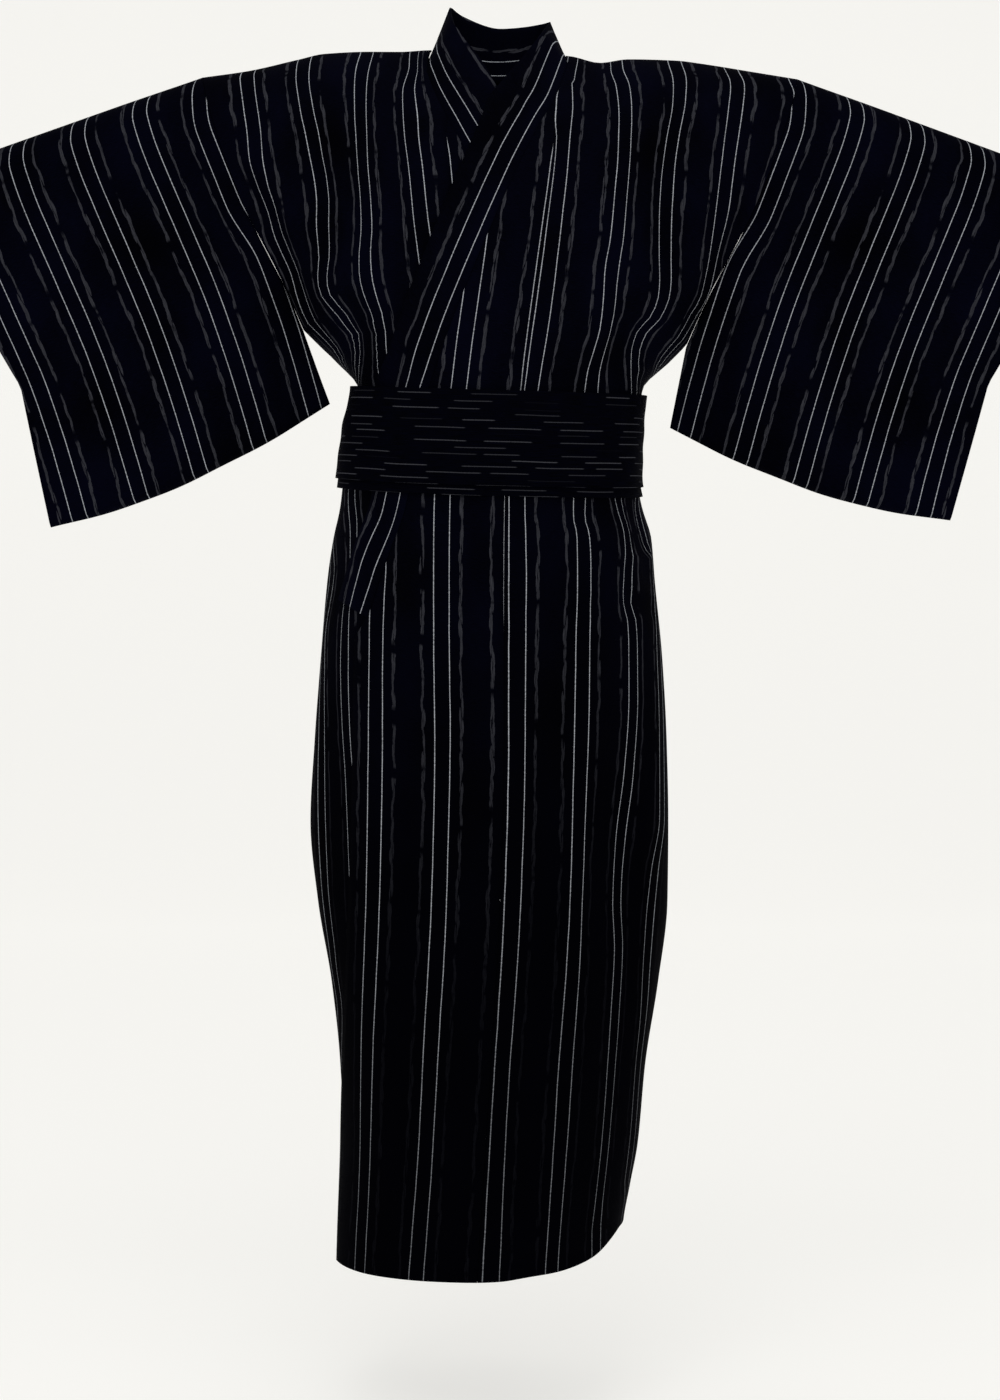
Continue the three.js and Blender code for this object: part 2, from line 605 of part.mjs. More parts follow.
// One sleeve: a flat bag sewn to the armhole, open at the cuff, closed below it and
// hanging free below the armpit.
function sleeve(name, side) {
  const sign = side === "left" ? -1 : 1;
  const plan = SLEEVE[side];
  const layer = side === "left" ? 0 : LAYER;
  const hang = curve(plan.innerHang.map((at) => seenAtDepth(at, 0)), "z", "x");
  const foot = seenAtDepth(plan.innerHang[2], 0).z;
  const [cuffTop, cuffFoot, outerFoot] = [plan.cuffTop, plan.cuffFoot, plan.outerFoot].map(
    (at) => seenAtDepth(at, 0));
  const shut = CLOTH + 0.6;
  const hangRows = 4;
  const across = ROWS_SHOULDER + 1 + hangRows;
  const columns = 2 * across - 2;
  const along = 11;
  // Down the sleeve, k 0 at the top fold; down is 0 there and 1 at the bottom fold.
  const inner = (k) => {
    if (k <= ROWS_SHOULDER) {
      const x = rowEnd(side, k, layer);
      const z = rowHeight(side, -1, k, x);
      const down = (1 - SLEEVE_HANG) * rowPart(k);
      const depth = (face) => Math.max(depthAt(face, x, z, layer), k === 0 ? 0 : shut * ease(k / 5));
      return { x: x + sign * 0.5, z, down, front: depth(-1), back: depth(1) };
    }
    const part = (k - ROWS_SHOULDER) / hangRows;
    const z = mix(ARMHOLE[side].armpitZ, foot, part);
    return { x: hang(z), z, down: mix(1 - SLEEVE_HANG, 1, part), front: shut, back: shut };
  };
  const outer = (down) => {
    const open = 1 - SLEEVE_CLOSED;
    if (down < open) {
      const t = down / open;
      const x = mix(cuffTop.x, cuffFoot.x, t);
      const z = mix(cuffTop.z, cuffFoot.z, t);
      const wide = ARM.cuffOpen * Math.sin(Math.PI * t) ** 0.7;
      return { x, z, depth: Math.max(wide, shut * ease(down * 20)) };
    }
    const t = (down - open) / SLEEVE_CLOSED;
    return { x: mix(cuffFoot.x, outerFoot.x, t), z: mix(cuffFoot.z, outerFoot.z, t), depth: shut };
  };
  const at = (i, j) => {
    const face = j < across ? -1 : 1;
    const k = j < across ? j : columns - j;
    const a = i / along;
    const start = inner(k);
    const end = outer(start.down);
    const drop = start.down * SLEEVE_DEEP;
    const radius = mix(ARM.radiusIn, ARM.radiusOut, a);
    const over = 1 - Math.exp(-Math.sqrt(drop * drop + 2 * FALL_ROUND * drop) / (radius * 0.4));
    const below = clamp((drop - radius) / (SLEEVE_DEEP - radius), 0, 1);
    const bag = mix(radius, ARM.bag, below ** 0.8) * over;
    const first = face < 0 ? start.front : start.back;
    let depth = mix(first, bag, ease(a / 0.3));
    depth = mix(depth, end.depth, ease((a - 0.72) / 0.28));
    const bow = SLEEVE_BOW * Math.sin(Math.PI * a) * start.down ** 3;
    const x = mix(start.x, end.x, a);
    const z = mix(start.z, end.z, a) - bow;
    const fold = k === 0 || k === across - 1;
    return [x, fold ? 0 : face * depth, z];
  };
  return sheet(name, along + 1, columns, at, CLOTH, {
    round: true,
    away: (i, j) => [0, j === 0 || j === across - 1 ? 0 : (j < across ? -1 : 1), 0],
    trim: (i, j, n) => {
      const k = j < across ? j : columns - j;
      if (i === 0 && k < ROWS_SHOULDER) n.x = 0;
    },
  });
}

// The sash: one strip, wound twice round the waist.
function sashHeight(turn) {
  return -451 - 18.5 * Math.cos(turn) - 5.5 * Math.sin(turn);
}

function sashLayer(turn) {
  const degrees = turn / DEGREE;
  const front = ease((degrees + 102) / 34) * ease((132 - degrees) / 32);
  return mix(SASH.back, SASH.firstTurn, front);
}

function ringPoint(turn, z, layer) {
  const power = ringPower(z);
  const side = turn < 0 ? "left" : "right";
  const x = halfWidth(side, z, layer) * signedPower(Math.sin(turn), 2 / power);
  const front = Math.cos(turn) > 0;
  const full = (front ? ringFront(z) : ringBack(z)) + layer;
  return [x, -full * signedPower(Math.cos(turn), 2 / power), z];
}

function sashBand() {
  const steps = 88;
  const at = (i, j) => {
    const wound = (i / steps) * 2 * WHOLE_TURN * 0.99;
    let turn = wound - Math.PI;
    while (turn > Math.PI) turn -= WHOLE_TURN;
    const second = ease((wound / WHOLE_TURN - 0.93) / 0.14);
    const z = sashHeight(turn) - SASH.stagger * (1 - second) + SASH.width * (0.5 - j / 2);
    return ringPoint(turn, z, sashLayer(turn) + SASH.turnStep * second);
  };
  return sheet("sash_band", steps + 1, 3, at, SASH_CLOTH, { away: (i, j, p) => [p.x, p.y, 0] });
}

// An end of the sash, doubled: it lies in the knot and bends away from it.
function sashEnd(name, from, to, bend, lift) {
  const steps = 10;
  const at = (i, j) => {
    const s = mix(from, to, i / steps);
    const t = SASH.endWidth * (0.5 - j / 3);
    const past = Math.max(Math.abs(s) - KNOT.across, 0);
    const slope = KNOT.tilt + bend * past * Math.sign(s);
    const rise = Math.sign(s) * 0.5 * bend * past * past * Math.sign(s);
    const x = KNOT.x + s * Math.cos(KNOT.tilt) - rise * Math.sin(KNOT.tilt) - t * Math.sin(slope);
    const z = KNOT.z + s * Math.sin(KNOT.tilt) + rise * Math.cos(KNOT.tilt) + t * Math.cos(slope);
    return [x, depthAt(1, x * 0.55, KNOT.z, 0) + lift, z];
  };
  return sheet(name, steps + 1, 4, at, SASH.endThick, { away: () => [0, 1, 0] });
}

function sashKnot() {
  const columns = 20;
  const rows = 6;
  const at = (i, j) => {
    const turn = (j / columns) * WHOLE_TURN;
    const s = mix(-KNOT.across, KNOT.across, i / (rows - 1));
    const t = KNOT.high * signedPower(Math.cos(turn), 0.35);
    const out = KNOT.deep * signedPower(Math.sin(turn), 0.35);
    const x = KNOT.x + s * Math.cos(KNOT.tilt) - t * Math.sin(KNOT.tilt);
    const z = KNOT.z + s * Math.sin(KNOT.tilt) + t * Math.cos(KNOT.tilt);
    return [x, depthAt(1, x * 0.55, KNOT.z, 0) + KNOT.out + out, z];
  };
  return sheet("sash_knot", rows, columns, at, SASH_CLOTH, {
    round: true,
    away: (i, j) => {
      const turn = (j / columns) * WHOLE_TURN;
      return [0, Math.sin(turn), Math.cos(turn)];
    },
  });
}

const kimono = new THREE.Group();
kimono.name = "kimono";
kimono.add(
  bodyPanel("body_left", "right"),
  bodyPanel("body_right", "left"),
  overlapPanel("overlap_left", "right", leftFrontEdge, leftOverlapEdge, LAYER, 1.8),
  overlapPanel("overlap_right", "left", rightFrontEdge, rightOverlapEdge, 0, 2.6),
  sleeve("sleeve_left", "right"),
  sleeve("sleeve_right", "left"),
  collar(),
  sashBand(),
  sashKnot(),
  sashEnd("sash_end_up", -28, 132, 0.011, 15.1),
  sashEnd("sash_end_down", 28, -142, 0.006, 11.7),
);

export default kimono;
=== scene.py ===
"""A man's summer kimono with its sash, worn and hollow, on a plain floor."""

import math

import bpy
import numpy as np
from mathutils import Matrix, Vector

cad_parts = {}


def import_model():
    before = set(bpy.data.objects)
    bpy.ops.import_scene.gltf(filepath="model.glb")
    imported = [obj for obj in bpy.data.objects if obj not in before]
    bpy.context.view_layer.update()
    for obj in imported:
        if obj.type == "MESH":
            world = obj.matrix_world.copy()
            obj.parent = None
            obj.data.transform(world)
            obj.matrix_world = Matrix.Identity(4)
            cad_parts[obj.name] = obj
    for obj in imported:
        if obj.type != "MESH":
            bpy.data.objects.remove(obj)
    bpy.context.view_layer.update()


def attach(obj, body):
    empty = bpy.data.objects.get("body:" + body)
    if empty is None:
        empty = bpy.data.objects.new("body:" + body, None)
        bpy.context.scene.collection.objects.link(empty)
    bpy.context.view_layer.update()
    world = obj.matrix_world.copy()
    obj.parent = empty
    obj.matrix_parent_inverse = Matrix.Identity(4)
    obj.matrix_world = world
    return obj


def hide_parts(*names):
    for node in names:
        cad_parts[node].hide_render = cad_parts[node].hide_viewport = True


bl_info = {
    "name": "Summer kimono",
    "version": (1, 0, 0),
    "blender": (4, 2, 0),
    "location": "View3D > Sidebar > Kimono",
    "description": "Builds a worn summer kimono and its sash over the packed frame",
    "category": "Object",
}

# Sizes are in millimetres unless a name says otherwise. Left and right are the picture's,
# so the garment's own left front, which lies over the other, is on the right here.
MM = 0.001
SEAM = 0.2
SEAM_PROUD = 0.1
LAYER = 5.0
SIGN = {"left": -1, "right": 1}
LAYERS = {"left": 0.0, "right": LAYER}
DEGREE = math.pi / 180
QUARTER = math.pi / 2
FULL = math.pi * 2
TINY = 1e-9
HEM = -1410.0

# The photograph's scale where Y is 0, and its eye, in millimetres and pixels.
PICTURE = {"mm_per_pixel": 1.18, "middle_x": 500, "middle_y": 700,
           "eye_back": 2400, "eye_up": -761}
FRONT_GUESS = -110.0
# How often each place that depends on itself is worked out again.
ROUNDS = {"seen": 8, "end": 10, "start": 14, "stripe": 3}


def table(names, rows):
    """Reads rows of numbers under their column names."""
    cells = np.array(rows, dtype=float)
    return {name: cells[:, k] for k, name in enumerate(names.split())}


# Sections of the body below the armpits: half widths, depths and how square they are.
RING = table("z left right front back power", [
    (-1420, 191, 139, 146, 149, 2.2), (-1375, 189, 140, 142, 144, 2.2),
    (-1328, 186, 148, 137, 138, 2.2), (-1280, 184, 157, 132, 130, 2.25),
    (-1186, 188, 166, 123, 118, 2.3), (-1091, 198, 181, 116, 110, 2.35),
    (-997, 214, 192, 112, 106, 2.4), (-903, 223, 193, 112, 105, 2.4),
    (-808, 218, 191, 116, 112, 2.4), (-714, 211, 186, 122, 121, 2.35),
    (-620, 203, 177, 127, 123, 2.3), (-572, 196, 173, 129, 119, 2.3),
    (-535, 188, 162, 130, 113, 2.3), (-500, 184, 156, 130, 110, 2.3),
    (-440, 176, 158, 127, 109, 2.3), (-395, 167, 163, 125, 109, 2.3),
    (-360, 195, 197, 124, 110, 2.3), (-340, 216, 216, 124, 111, 2.3),
    (-324, 232, 226, 124, 112, 2.3), (20, 232, 226, 124, 112, 2.3),
])

ARMHOLE = {
    "left": {"armpit_x": 232, "armpit_z": -324, "shoulder_x": 348, "shoulder_z": -29},
    "right": {"armpit_x": 216, "armpit_z": -340, "shoulder_x": 343, "shoulder_z": -31},
}
ARMHOLE_LINE = table("rise across depth", [
    (0, 0, 0), (0.18, 0.2, 26), (0.49, 0.59, 50), (0.83, 0.89, 60), (1, 1, 62)])

SHOULDER_LINE = table("x left right", [
    (0, 3, 3), (82, 5, -2), (118, 3, -10), (150, 3, -6), (206, 0, -8),
    (236, -7, -12), (295, -21, -22), (348, -29, -31)])
SHOULDER_FALL = table("x front back", [
    (0, 110, 45), (90, 108, 45), (220, 62, 40), (348, 26, 26)])
FALL_ROUND = 12.0
FALL_ENDS = {"from": -420, "over": 90}
CHEST_POWER = 2.6
ARM_BLEND = 0.3
# Where the folds run out: at the side seam, under the arm and below the shoulder line.
FOLD_CALM = {"seam": 0.08, "arm": 0.2, "top": 40}

# How far the hem of each face is taken up, from this height down.
HEM_RISE = {"from": -1090, "over": 320}
HEM_LIFT = table("x front back", [
    (-200, 0, 0), (-2, 5, 0), (37, 10, 2), (72, 14, 10), (104, 21, 22), (138, 42, 42)])

# Seams where the photograph shows them, in its pixels.
LEFT_FRONT_EDGE = [
    (569, 60), (563, 78), (556, 98), (553, 150), (547, 200), (540, 250), (533, 300),
    (526, 350), (520, 400), (505, 497), (504, 600), (504, 740), (500, 900), (491, 1060),
    (481, 1220), (474, 1330)]
RIGHT_FRONT_EDGE = [
    (424, 64), (434, 92), (443, 113), (448, 150), (453, 200), (460, 250), (467, 300),
    (474, 350), (480, 400), (494, 497), (496, 740), (500, 900), (508, 1060), (519, 1220),
    (526, 1330)]
LEFT_OVERLAP_EDGE = [
    (356, 641), (354, 700), (353, 777), (351, 863), (345, 1014), (341, 1140), (336, 1330)]
RIGHT_OVERLAP_EDGE = [
    (639, 641), (640, 700), (641, 777), (642, 863), (640, 1014), (629, 1140), (612, 1330)]

COLLAR_COLUMNS = "free_px free_py seam_px seam_py lie free_y"
LEFT_COLLAR = table(COLLAR_COLUMNS, [
    (338, 600, 367, 618, 1, 0), (348, 564, 379, 581, 1, 0), (359, 531, 392, 545, 1, 0),
    (371, 497, 405, 508, 1, 0), (374, 440, 415, 452, 1, 0), (375, 389, 424, 402, 1, 0),
    (388, 350, 436, 365, 1, 0), (405, 300, 453, 316, 1, 0), (419, 265, 467, 282, 1, 0),
    (431, 234, 480, 251, 1, 0), (455, 177, 503, 198, 1, 0), (475, 132, 523, 155, 1, 0),
    (494, 88, 542, 119, 0.9, -72), (509, 70, 555, 98, 0.5, -64),
    (527, 50, 563, 78, 0.2, -49), (544, 30, 569, 60, 0, -25)])
RIGHT_COLLAR = table(COLLAR_COLUMNS, [
    (646, 590, 618, 610, 1, 0), (643, 562, 610, 576, 1, 0), (635, 531, 601, 544, 1, 0),
    (624, 497, 589, 508, 1, 0), (622, 440, 581, 452, 1, 0), (620, 389, 572, 402, 1, 0),
    (609, 350, 561, 365, 1, 0), (593, 300, 545, 316, 1, 0), (569, 234, 520, 251, 1, 0),
    (546, 177, 496, 203, 1, 0), (520, 122, 470, 158, 1, 0),
    (498, 86, 452, 125, 0.9, -66), (483, 60, 443, 108, 0.5, -57),
    (467, 40, 434, 90, 0.2, -44), (451, 20, 425, 66, 0, -20)])
# How flat the collar lies: sewn to the front, wholly flat from here, and while it stands.
COLLAR_FLAT = {"sewn": 0.4, "from": 0.86, "over": 0.12, "standing": 0.8}
COLLAR_NECK = {"out": 1.2, "in": 0.99, "down": 1.4, "behind": 2.6, "layer": 0.8}
NECK = {"left": {"half": 85, "sink": 20}, "right": {"half": 82, "sink": 13}}
COLLAR_STAND = table("round x y z", [
    (-1, -63, 14, 64), (-0.5, -45, 46, 60), (0, 0, 62, 50), (0.5, 46, 46, 50),
    (1, 63, 14, 45)])

SLEEVE = {
    "left": {"hang": [(303, 330), (321, 380), (330, 404)], "cuff_top": (-90, 183),
             "cuff_foot": (22, 388), "outer_foot": (52, 528),
             "line": [(205, 80), (330, 404)], "first": 8, "period": 76.5},
    "right": {"hang": [(687, 343), (676, 398), (670, 428)], "cuff_top": (1092, 190),
              "cuff_foot": (987, 385), "outer_foot": (949, 521),
              "line": [(795, 81), (670, 428)], "first": 6, "period": 75},
}
SLEEVE_HANG = 0.2
SLEEVE_CLOSED = 0.38
SLEEVE_DEEP = 470.0
SLEEVE_BOW = 19.0
ARM = {"radius_in": 62, "radius_out": 44, "cuff_open": 27, "bag": 9, "cuff_round": 0.7,
       "cuff_grows": 20, "soft": 0.4, "taper": 0.8, "proud": 0.5}
SLEEVE_SHUT = 2.6
SLEEVE_SHUTS_BY = 5 / 14
SLEEVE_BLEND = {"in": 0.3, "out_from": 0.72, "out_over": 0.28}
SLEEVE_NEAR = {"from": 25, "over": 45}
# The hanging cloth sways: how far, how often along and down the sleeve, and its start.
SLEEVE_SWAY = ((5, 9.5, 0, 0.8), (2.5, 21, 3, 0))
SLEEVE_HUNG = {"from": 0.2, "over": 0.6, "in": 0.2}
SLEEVE_PINCH = {"out": 3, "down": 0.55, "slope": 0.8, "wide": 0.06, "share": 0.8,
                "stop": 0.5, "fade": 0.3}
SLEEVE_STEPS = {"upper": 56, "lower": 20, "along": 84}
# How far the stripes stray from straight lines, near the armhole and far from it.
SLEEVE_DRIFT = table("down far near", [
    (0, -14, -11), (0.04, -6, -3), (0.09, 0, 4), (0.2, 2.5, 13), (0.42, 0, 12),
    (0.6, -2, 0), (0.75, 0, 2), (0.87, 4, 6), (1, 10, 12)])

SASH = {"width": 107, "first": 8.8, "step": 3, "stagger": 11, "back": 3.2,
        "middle": -451, "front_drop": 18.5, "side_drop": 5.5}
# The degrees between which the band goes over the overlaps, each with its slope.
SASH_OVER = ((-102, 34), (132, 32))
WINDING = {"turns": 2, "share": 0.99, "second": 0.93, "over": 0.14}
BAND_RIPPLE = {"out": 0.45, "ribs": 19, "sway": 1.4, "round": 2.2}
SASH_END = {"width": 52, "thick": 2.4, "start": 28, "bend_share": 1.12}
SASH_ENDS = (("cloth_sash_end_up", "sash_end_up", -SASH_END["start"], 132, 0.011, 15.1),
             ("cloth_sash_end_down", "sash_end_down", SASH_END["start"], -142, 0.006, 11.7))
KNOT = {"z": -436, "across": 36, "high": 32, "deep": 6.2, "out": 12.2, "tilt": 24 * DEGREE,
        "flat": 0.55, "square": 0.45, "waist": 0.06, "girth": 1.9}
KNOT_CREASE = {"out": 0.9, "step": 5.2, "lean": 1.5}
END_WAVE = {"out": 1.2, "step": 8.0, "from": 40}

# Where the middles of the white pairs run on the fronts, by their place in the cloth.
STRIPES_LEFT = {
    13: [(565.5, 85), (566, 104), (563, 133), (559.3, 178), (555, 214), (549.5, 264),
         (543.5, 308), (537.5, 349), (531, 389), (517.5, 490), (518.4, 590), (517.8, 768),
         (515, 870), (509.7, 974), (503, 1063), (498.5, 1140), (494.5, 1230), (492.5, 1281)],
    90: [(615, 55), (616, 69), (623, 86.7), (625.7, 108.7), (625.4, 149.7), (622, 193.7),
         (617.7, 237.8), (611.9, 270), (610, 302), (607, 330), (599.3, 355), (593.7, 372.7),
         (591, 393), (580.8, 493), (579.7, 518), (583.4, 535), (585.2, 584), (583.4, 637),
         (582.5, 699), (580.5, 790), (578.5, 870), (573.7, 969.5), (566.6, 1058.8),
         (560.8, 1146), (552, 1267)],
    167: [(674, 55), (675, 63), (679.6, 78.5), (679, 101), (672, 138), (666.7, 177.6),
          (664.7, 217), (665, 261), (665.6, 276), (663.8, 298), (654.4, 319), (639.7, 334.6),
          (635, 353.6), (634.5, 397.6), (618.4, 495.4), (621.8, 512.8), (627.4, 531.8),
          (629.2, 554), (627.8, 569.7), (626.7, 602), (632, 622), (633.6, 648), (634, 699),
          (629, 773), (620, 840), (617, 902), (619.3, 947), (616, 1009.6), (611, 1081),
          (605.5, 1145), (596, 1228)],
    244: [(729, 62), (731, 70), (736.8, 82.9), (735, 108.7), (730, 146.8), (726.3, 176),
          (721.9, 211), (714.3, 252.4), (710, 273), (704.3, 296.4), (692.5, 317),
          (680.8, 337.5), (668, 352), (658, 366), (645, 400), (636.5, 505), (645, 545),
          (652, 560), (657, 640), (661, 735), (662, 818), (654.5, 870), (649, 920),
          (646, 960), (643, 1014), (638, 1063), (633, 1130), (627, 1180)],
}
STRIPES_RIGHT = {
    39: [(415, 58), (415, 66), (408, 92), (410, 132), (415, 170), (420, 219), (427, 265),
         (436, 330), (448, 400), (460, 497), (461, 740), (465, 900), (473, 1060),
         (484, 1220)],
    116: [(367.6, 54), (361.9, 75.6), (360.7, 100.8), (361.4, 137.6), (362.5, 169.7),
          (364.8, 198.4), (366, 227.1), (363.9, 255.8), (364.4, 274.2), (367.1, 288),
          (373.3, 308.6), (377.9, 322.4), (379.1, 348.8), (381.1, 365.6), (386.4, 384.4),
          (392, 500), (392, 740), (394, 900), (401, 1060), (410, 1220)],
    193: [(303, 66), (302.2, 74.4), (306.8, 108.9), (312.5, 131.8), (317.5, 157.1),
          (321.7, 177.8), (324, 200.7), (323.3, 228.3), (324.2, 253.5), (321.7, 276.5),
          (322.8, 290.3), (334.3, 306.3), (349.2, 322.4), (356.1, 333.9), (358, 350),
          (357.3, 372.9), (351.5, 497), (354, 530), (352, 570), (345, 617), (343.5, 670),
          (345, 724), (348.5, 777.5), (352, 862), (356, 960), (360, 1100), (364, 1240)],
    270: [(247.5, 76.7), (251, 106.6), (254.4, 134.1), (255.8, 158.2), (262, 184.6),
          (271.2, 208.7), (279.2, 235.2), (287.2, 253.5), (295.3, 271.9), (301, 290.3),
          (311, 320), (324, 335), (338, 352), (347, 373), (337, 500), (334, 560),
          (326, 640), (322, 760), (325, 880), (334, 960), (341, 1014), (344, 1100)],
}
STRIPE_STEP = 77.0
STRIPE_GAP = 8
STRIPE_HOLD = {"near": 0.06, "from": -360, "over": 80}
BACK_SHIFT = {"left": 42.0, "right": 60.0}
BACK_BLEND = 330.0

# Soft folds: where each runs in X and Z, its half width and how far it stands out.
FOLD_COLUMNS = "x0 z0 x1 z1 wide out"
FOLDS_FRONT = table(FOLD_COLUMNS, [
    (172, -40, 196, -318, 22, -9), (228, -60, 232, -250, 24, 6),
    (330, -120, 205, -352, 15, -8), (300, -120, 188, -372, 13, 6),
    (120, -60, 118, -380, 26, 4), (140, -270, 122, -408, 11, -5),
    (100, -300, 90, -410, 10, 3), (62, -320, 56, -410, 12, -3),
    (-160, -40, -196, -300, 22, -9), (-214, -60, -226, -250, 22, 6),
    (-322, -120, -190, -362, 14, -8), (-290, -130, -170, -385, 12, 6),
    (-110, -60, -120, -360, 24, 4), (-138, -250, -124, -405, 11, -5),
    (-96, -300, -88, -408, 10, 3),
    (92, -520, 88, -660, 10, -4), (118, -515, 132, -700, 13, 5),
    (150, -520, 168, -640, 11, -5), (128, -628, 200, -668, 9, -4),
    (-84, -520, -96, -680, 12, 4), (-118, -520, -130, -640, 11, -4),
    (-150, -540, -172, -700, 14, 5),
    (-120, -600, -160, -1400, 34, 5), (-62, -660, -96, -1410, 28, -5),
    (-6, -640, -34, -1410, 32, 4), (58, -620, 18, -1410, 28, -5),
    (108, -640, 70, -1400, 28, 5), (160, -700, 118, -1380, 22, -4),
    (196, -640, 160, -1200, 20, 4), (-190, -700, -186, -1390, 22, -4)])
FOLDS_BACK = table(FOLD_COLUMNS, [
    (0, -30, 0, -376, 30, 4), (70, -40, 62, -380, 22, -4), (140, -50, 120, -384, 24, 5),
    (210, -80, 178, -340, 20, -6), (-70, -40, -58, -380, 22, 4),
    (-140, -50, -118, -384, 24, -5), (-208, -80, -172, -340, 20, 6),
    (0, -560, 6, -1400, 36, 5), (66, -560, 60, -1400, 28, -5), (124, -560, 112, -1380, 26, 5),
    (176, -600, 160, -1300, 22, -4), (-64, -560, -60, -1400, 28, 5),
    (-128, -560, -132, -1400, 28, -5), (-180, -600, -176, -1390, 24, 5)])
FOLD_BEND = {"out": 5, "step": 61.0}
FOLD_ENDS = {"start": 0.22, "past": 1.08, "stop": 0.3}
RIPPLE = {"out": 0.8, "x": 17.0, "x_long": 41.0, "z": 83.0, "z_long": 140.0}
SASH_ZONE = {"front": (-528.0, -412.0), "back": (-492.0, -372.0), "fade": 34.0}

SHOULDER_TURNS = 48
SHOULDER_CROWD = 1.8
SKIRT_TOP = -345.0
SKIRT_STEP = 9.0
PAST_ARMPIT = 1.5
BODY_COLUMNS = 60
PANEL_MEETS = {"from": 92, "over": 34}
SIDE_SEAM = {"half": SEAM + SEAM_PROUD, "below": 40}
TOP_ROUND = 20
COLLAR_TUCK = {"deep": 4.5, "from": -125, "over": 30}
OVERLAP = {"columns": 22, "gap": -1.6, "top": 5.1, "top_step": 12, "lap": 7, "edge": 40}
TAKEN = {"plain": 1.2, "waver": 0.7, "step": 110.0,
         "foot": {"more": 2.2, "from": -560, "over": 160},
         "top": {"more": 3, "from": -90, "over": 60}}
COLLAR_STEPS = {"left": 150, "right": 140, "neck": 60, "across": 12}
COLLAR_LAP = 18.5
SOFTEN = np.array([1, 2, 3, 2, 1]) / 9.0
BAND_STEPS = {"along": 420, "across": 26}
END_STEPS = {"along": 60, "across": 14}
KNOT_STEPS = {"around": 72, "along": 30}

# Stitches lie a little off the cloth, which bends round ovals of these half widths.
STITCH_LIFT = 0.3
BODY_OVAL = (200, 120)
CUFF_OVAL = (900, 20)
CUFF_SHARE = 0.62
STITCH_BELOW = -720


def mix(a, b, t):
    return a + (b - a) * t


def ease(t):
    s = np.clip(t, 0, 1)
    return s * s * (3 - 2 * s)


def curve(columns, source, target):
    """A smooth curve through two columns of a table that keeps between its neighbours."""
    order = np.argsort(columns[source], kind="stable")
    xs = np.asarray(columns[source], dtype=float)[order]
    ys = np.asarray(columns[target], dtype=float)[order]
    steps = np.diff(xs)
    slopes = np.diff(ys) / steps
    before, after = slopes[:-1], slopes[1:]
    product = before * after
    total = np.where(product > 0, before + after, 1.0)
    middle = np.where(product > 0, 2 * product / total, 0.0)
    tangents = np.concatenate([slopes[:1], middle, slopes[-1:]])

    def read(x):
        x = np.clip(np.asarray(x, dtype=float), xs[0], xs[-1])
        i = np.clip(np.searchsorted(xs, x, side="right") - 1, 0, len(xs) - 2)
        h = steps[i]
        t = (x - xs[i]) / h
        s = 1 - t
        return (ys[i] * (1 + 2 * t) * s * s + ys[i + 1] * (3 - 2 * t) * t * t
                + h * (tangents[i] * t * s * s - tangents[i + 1] * t * t * s))

    return read


ring_left = curve(RING, "z", "left")
ring_right = curve(RING, "z", "right")
ring_front = curve(RING, "z", "front")
ring_back = curve(RING, "z", "back")
ring_power = curve(RING, "z", "power")
armhole_across = curve(ARMHOLE_LINE, "rise", "across")
armhole_depth = curve(ARMHOLE_LINE, "rise", "depth")
top_left = curve(SHOULDER_LINE, "x", "left")
top_right = curve(SHOULDER_LINE, "x", "right")
fall_front = curve(SHOULDER_FALL, "x", "front")
fall_back = curve(SHOULDER_FALL, "x", "back")
lift_front = curve(HEM_LIFT, "x", "front")
lift_back = curve(HEM_LIFT, "x", "back")


def top_line(x):
    """The height of the shoulder line."""
    return np.where(x < 0, top_left(-x), top_right(x))


def rise(side, z):
    """How far a height lies up the armhole, from 0 at the armpit to 1 at the shoulder."""
    hole = ARMHOLE[side]
    return np.clip((z - hole["armpit_z"]) / (hole["shoulder_z"] - hole["armpit_z"]), 0, 1)


def half_width(side, z, layer):
    """The body's half width on one side at each height."""
    hole = ARMHOLE[side]
    above = mix(hole["armpit_x"], hole["shoulder_x"], armhole_across(rise(side, z)))
    ring = ring_left(z) if side == "left" else ring_right(z)
    return np.where(z > hole["armpit_z"], above, ring) + layer


def sided(x, read):
    """Reads a value for each point from its own side of X 0."""
    return np.where(x < 0, read("left"), read("right"))


def width_at(x, z, layer):
    return sided(x, lambda side: half_width(side, z, layer))


def folds(face, x, z):
    """How far the soft folds move the cloth in or out."""
    rows = FOLDS_FRONT if face < 0 else FOLDS_BACK
    out = np.zeros(np.broadcast(x, z).shape)
    for x0, z0, x1, z1, wide, high in zip(*[rows[n] for n in FOLD_COLUMNS.split()]):
        dx, dz = x1 - x0, z1 - z0
        long = dx * dx + dz * dz
        t = ((x - x0) * dx + (z - z0) * dz) / long
        bend = FOLD_BEND["out"] * np.sin(z / FOLD_BEND["step"] + x0)
        off = ((x - x0) * dz - (z - z0) * dx) / math.sqrt(long) + bend
        fades = ease(t / FOLD_ENDS["start"])
        fades = fades * ease((FOLD_ENDS["past"] - t) / FOLD_ENDS["stop"])
        out += high * np.exp(-(off / wide) ** 2) * fades
    out += (RIPPLE["out"] * np.sin(x / RIPPLE["x"] + z / RIPPLE["z"])
            * np.sin(z / RIPPLE["z_long"] + x / RIPPLE["x_long"]))
    low, high = SASH_ZONE["front" if face < 0 else "back"]
    fade = SASH_ZONE["fade"]
    away = np.maximum(ease((z - high) / fade), ease((low - z) / fade))
    return out * away


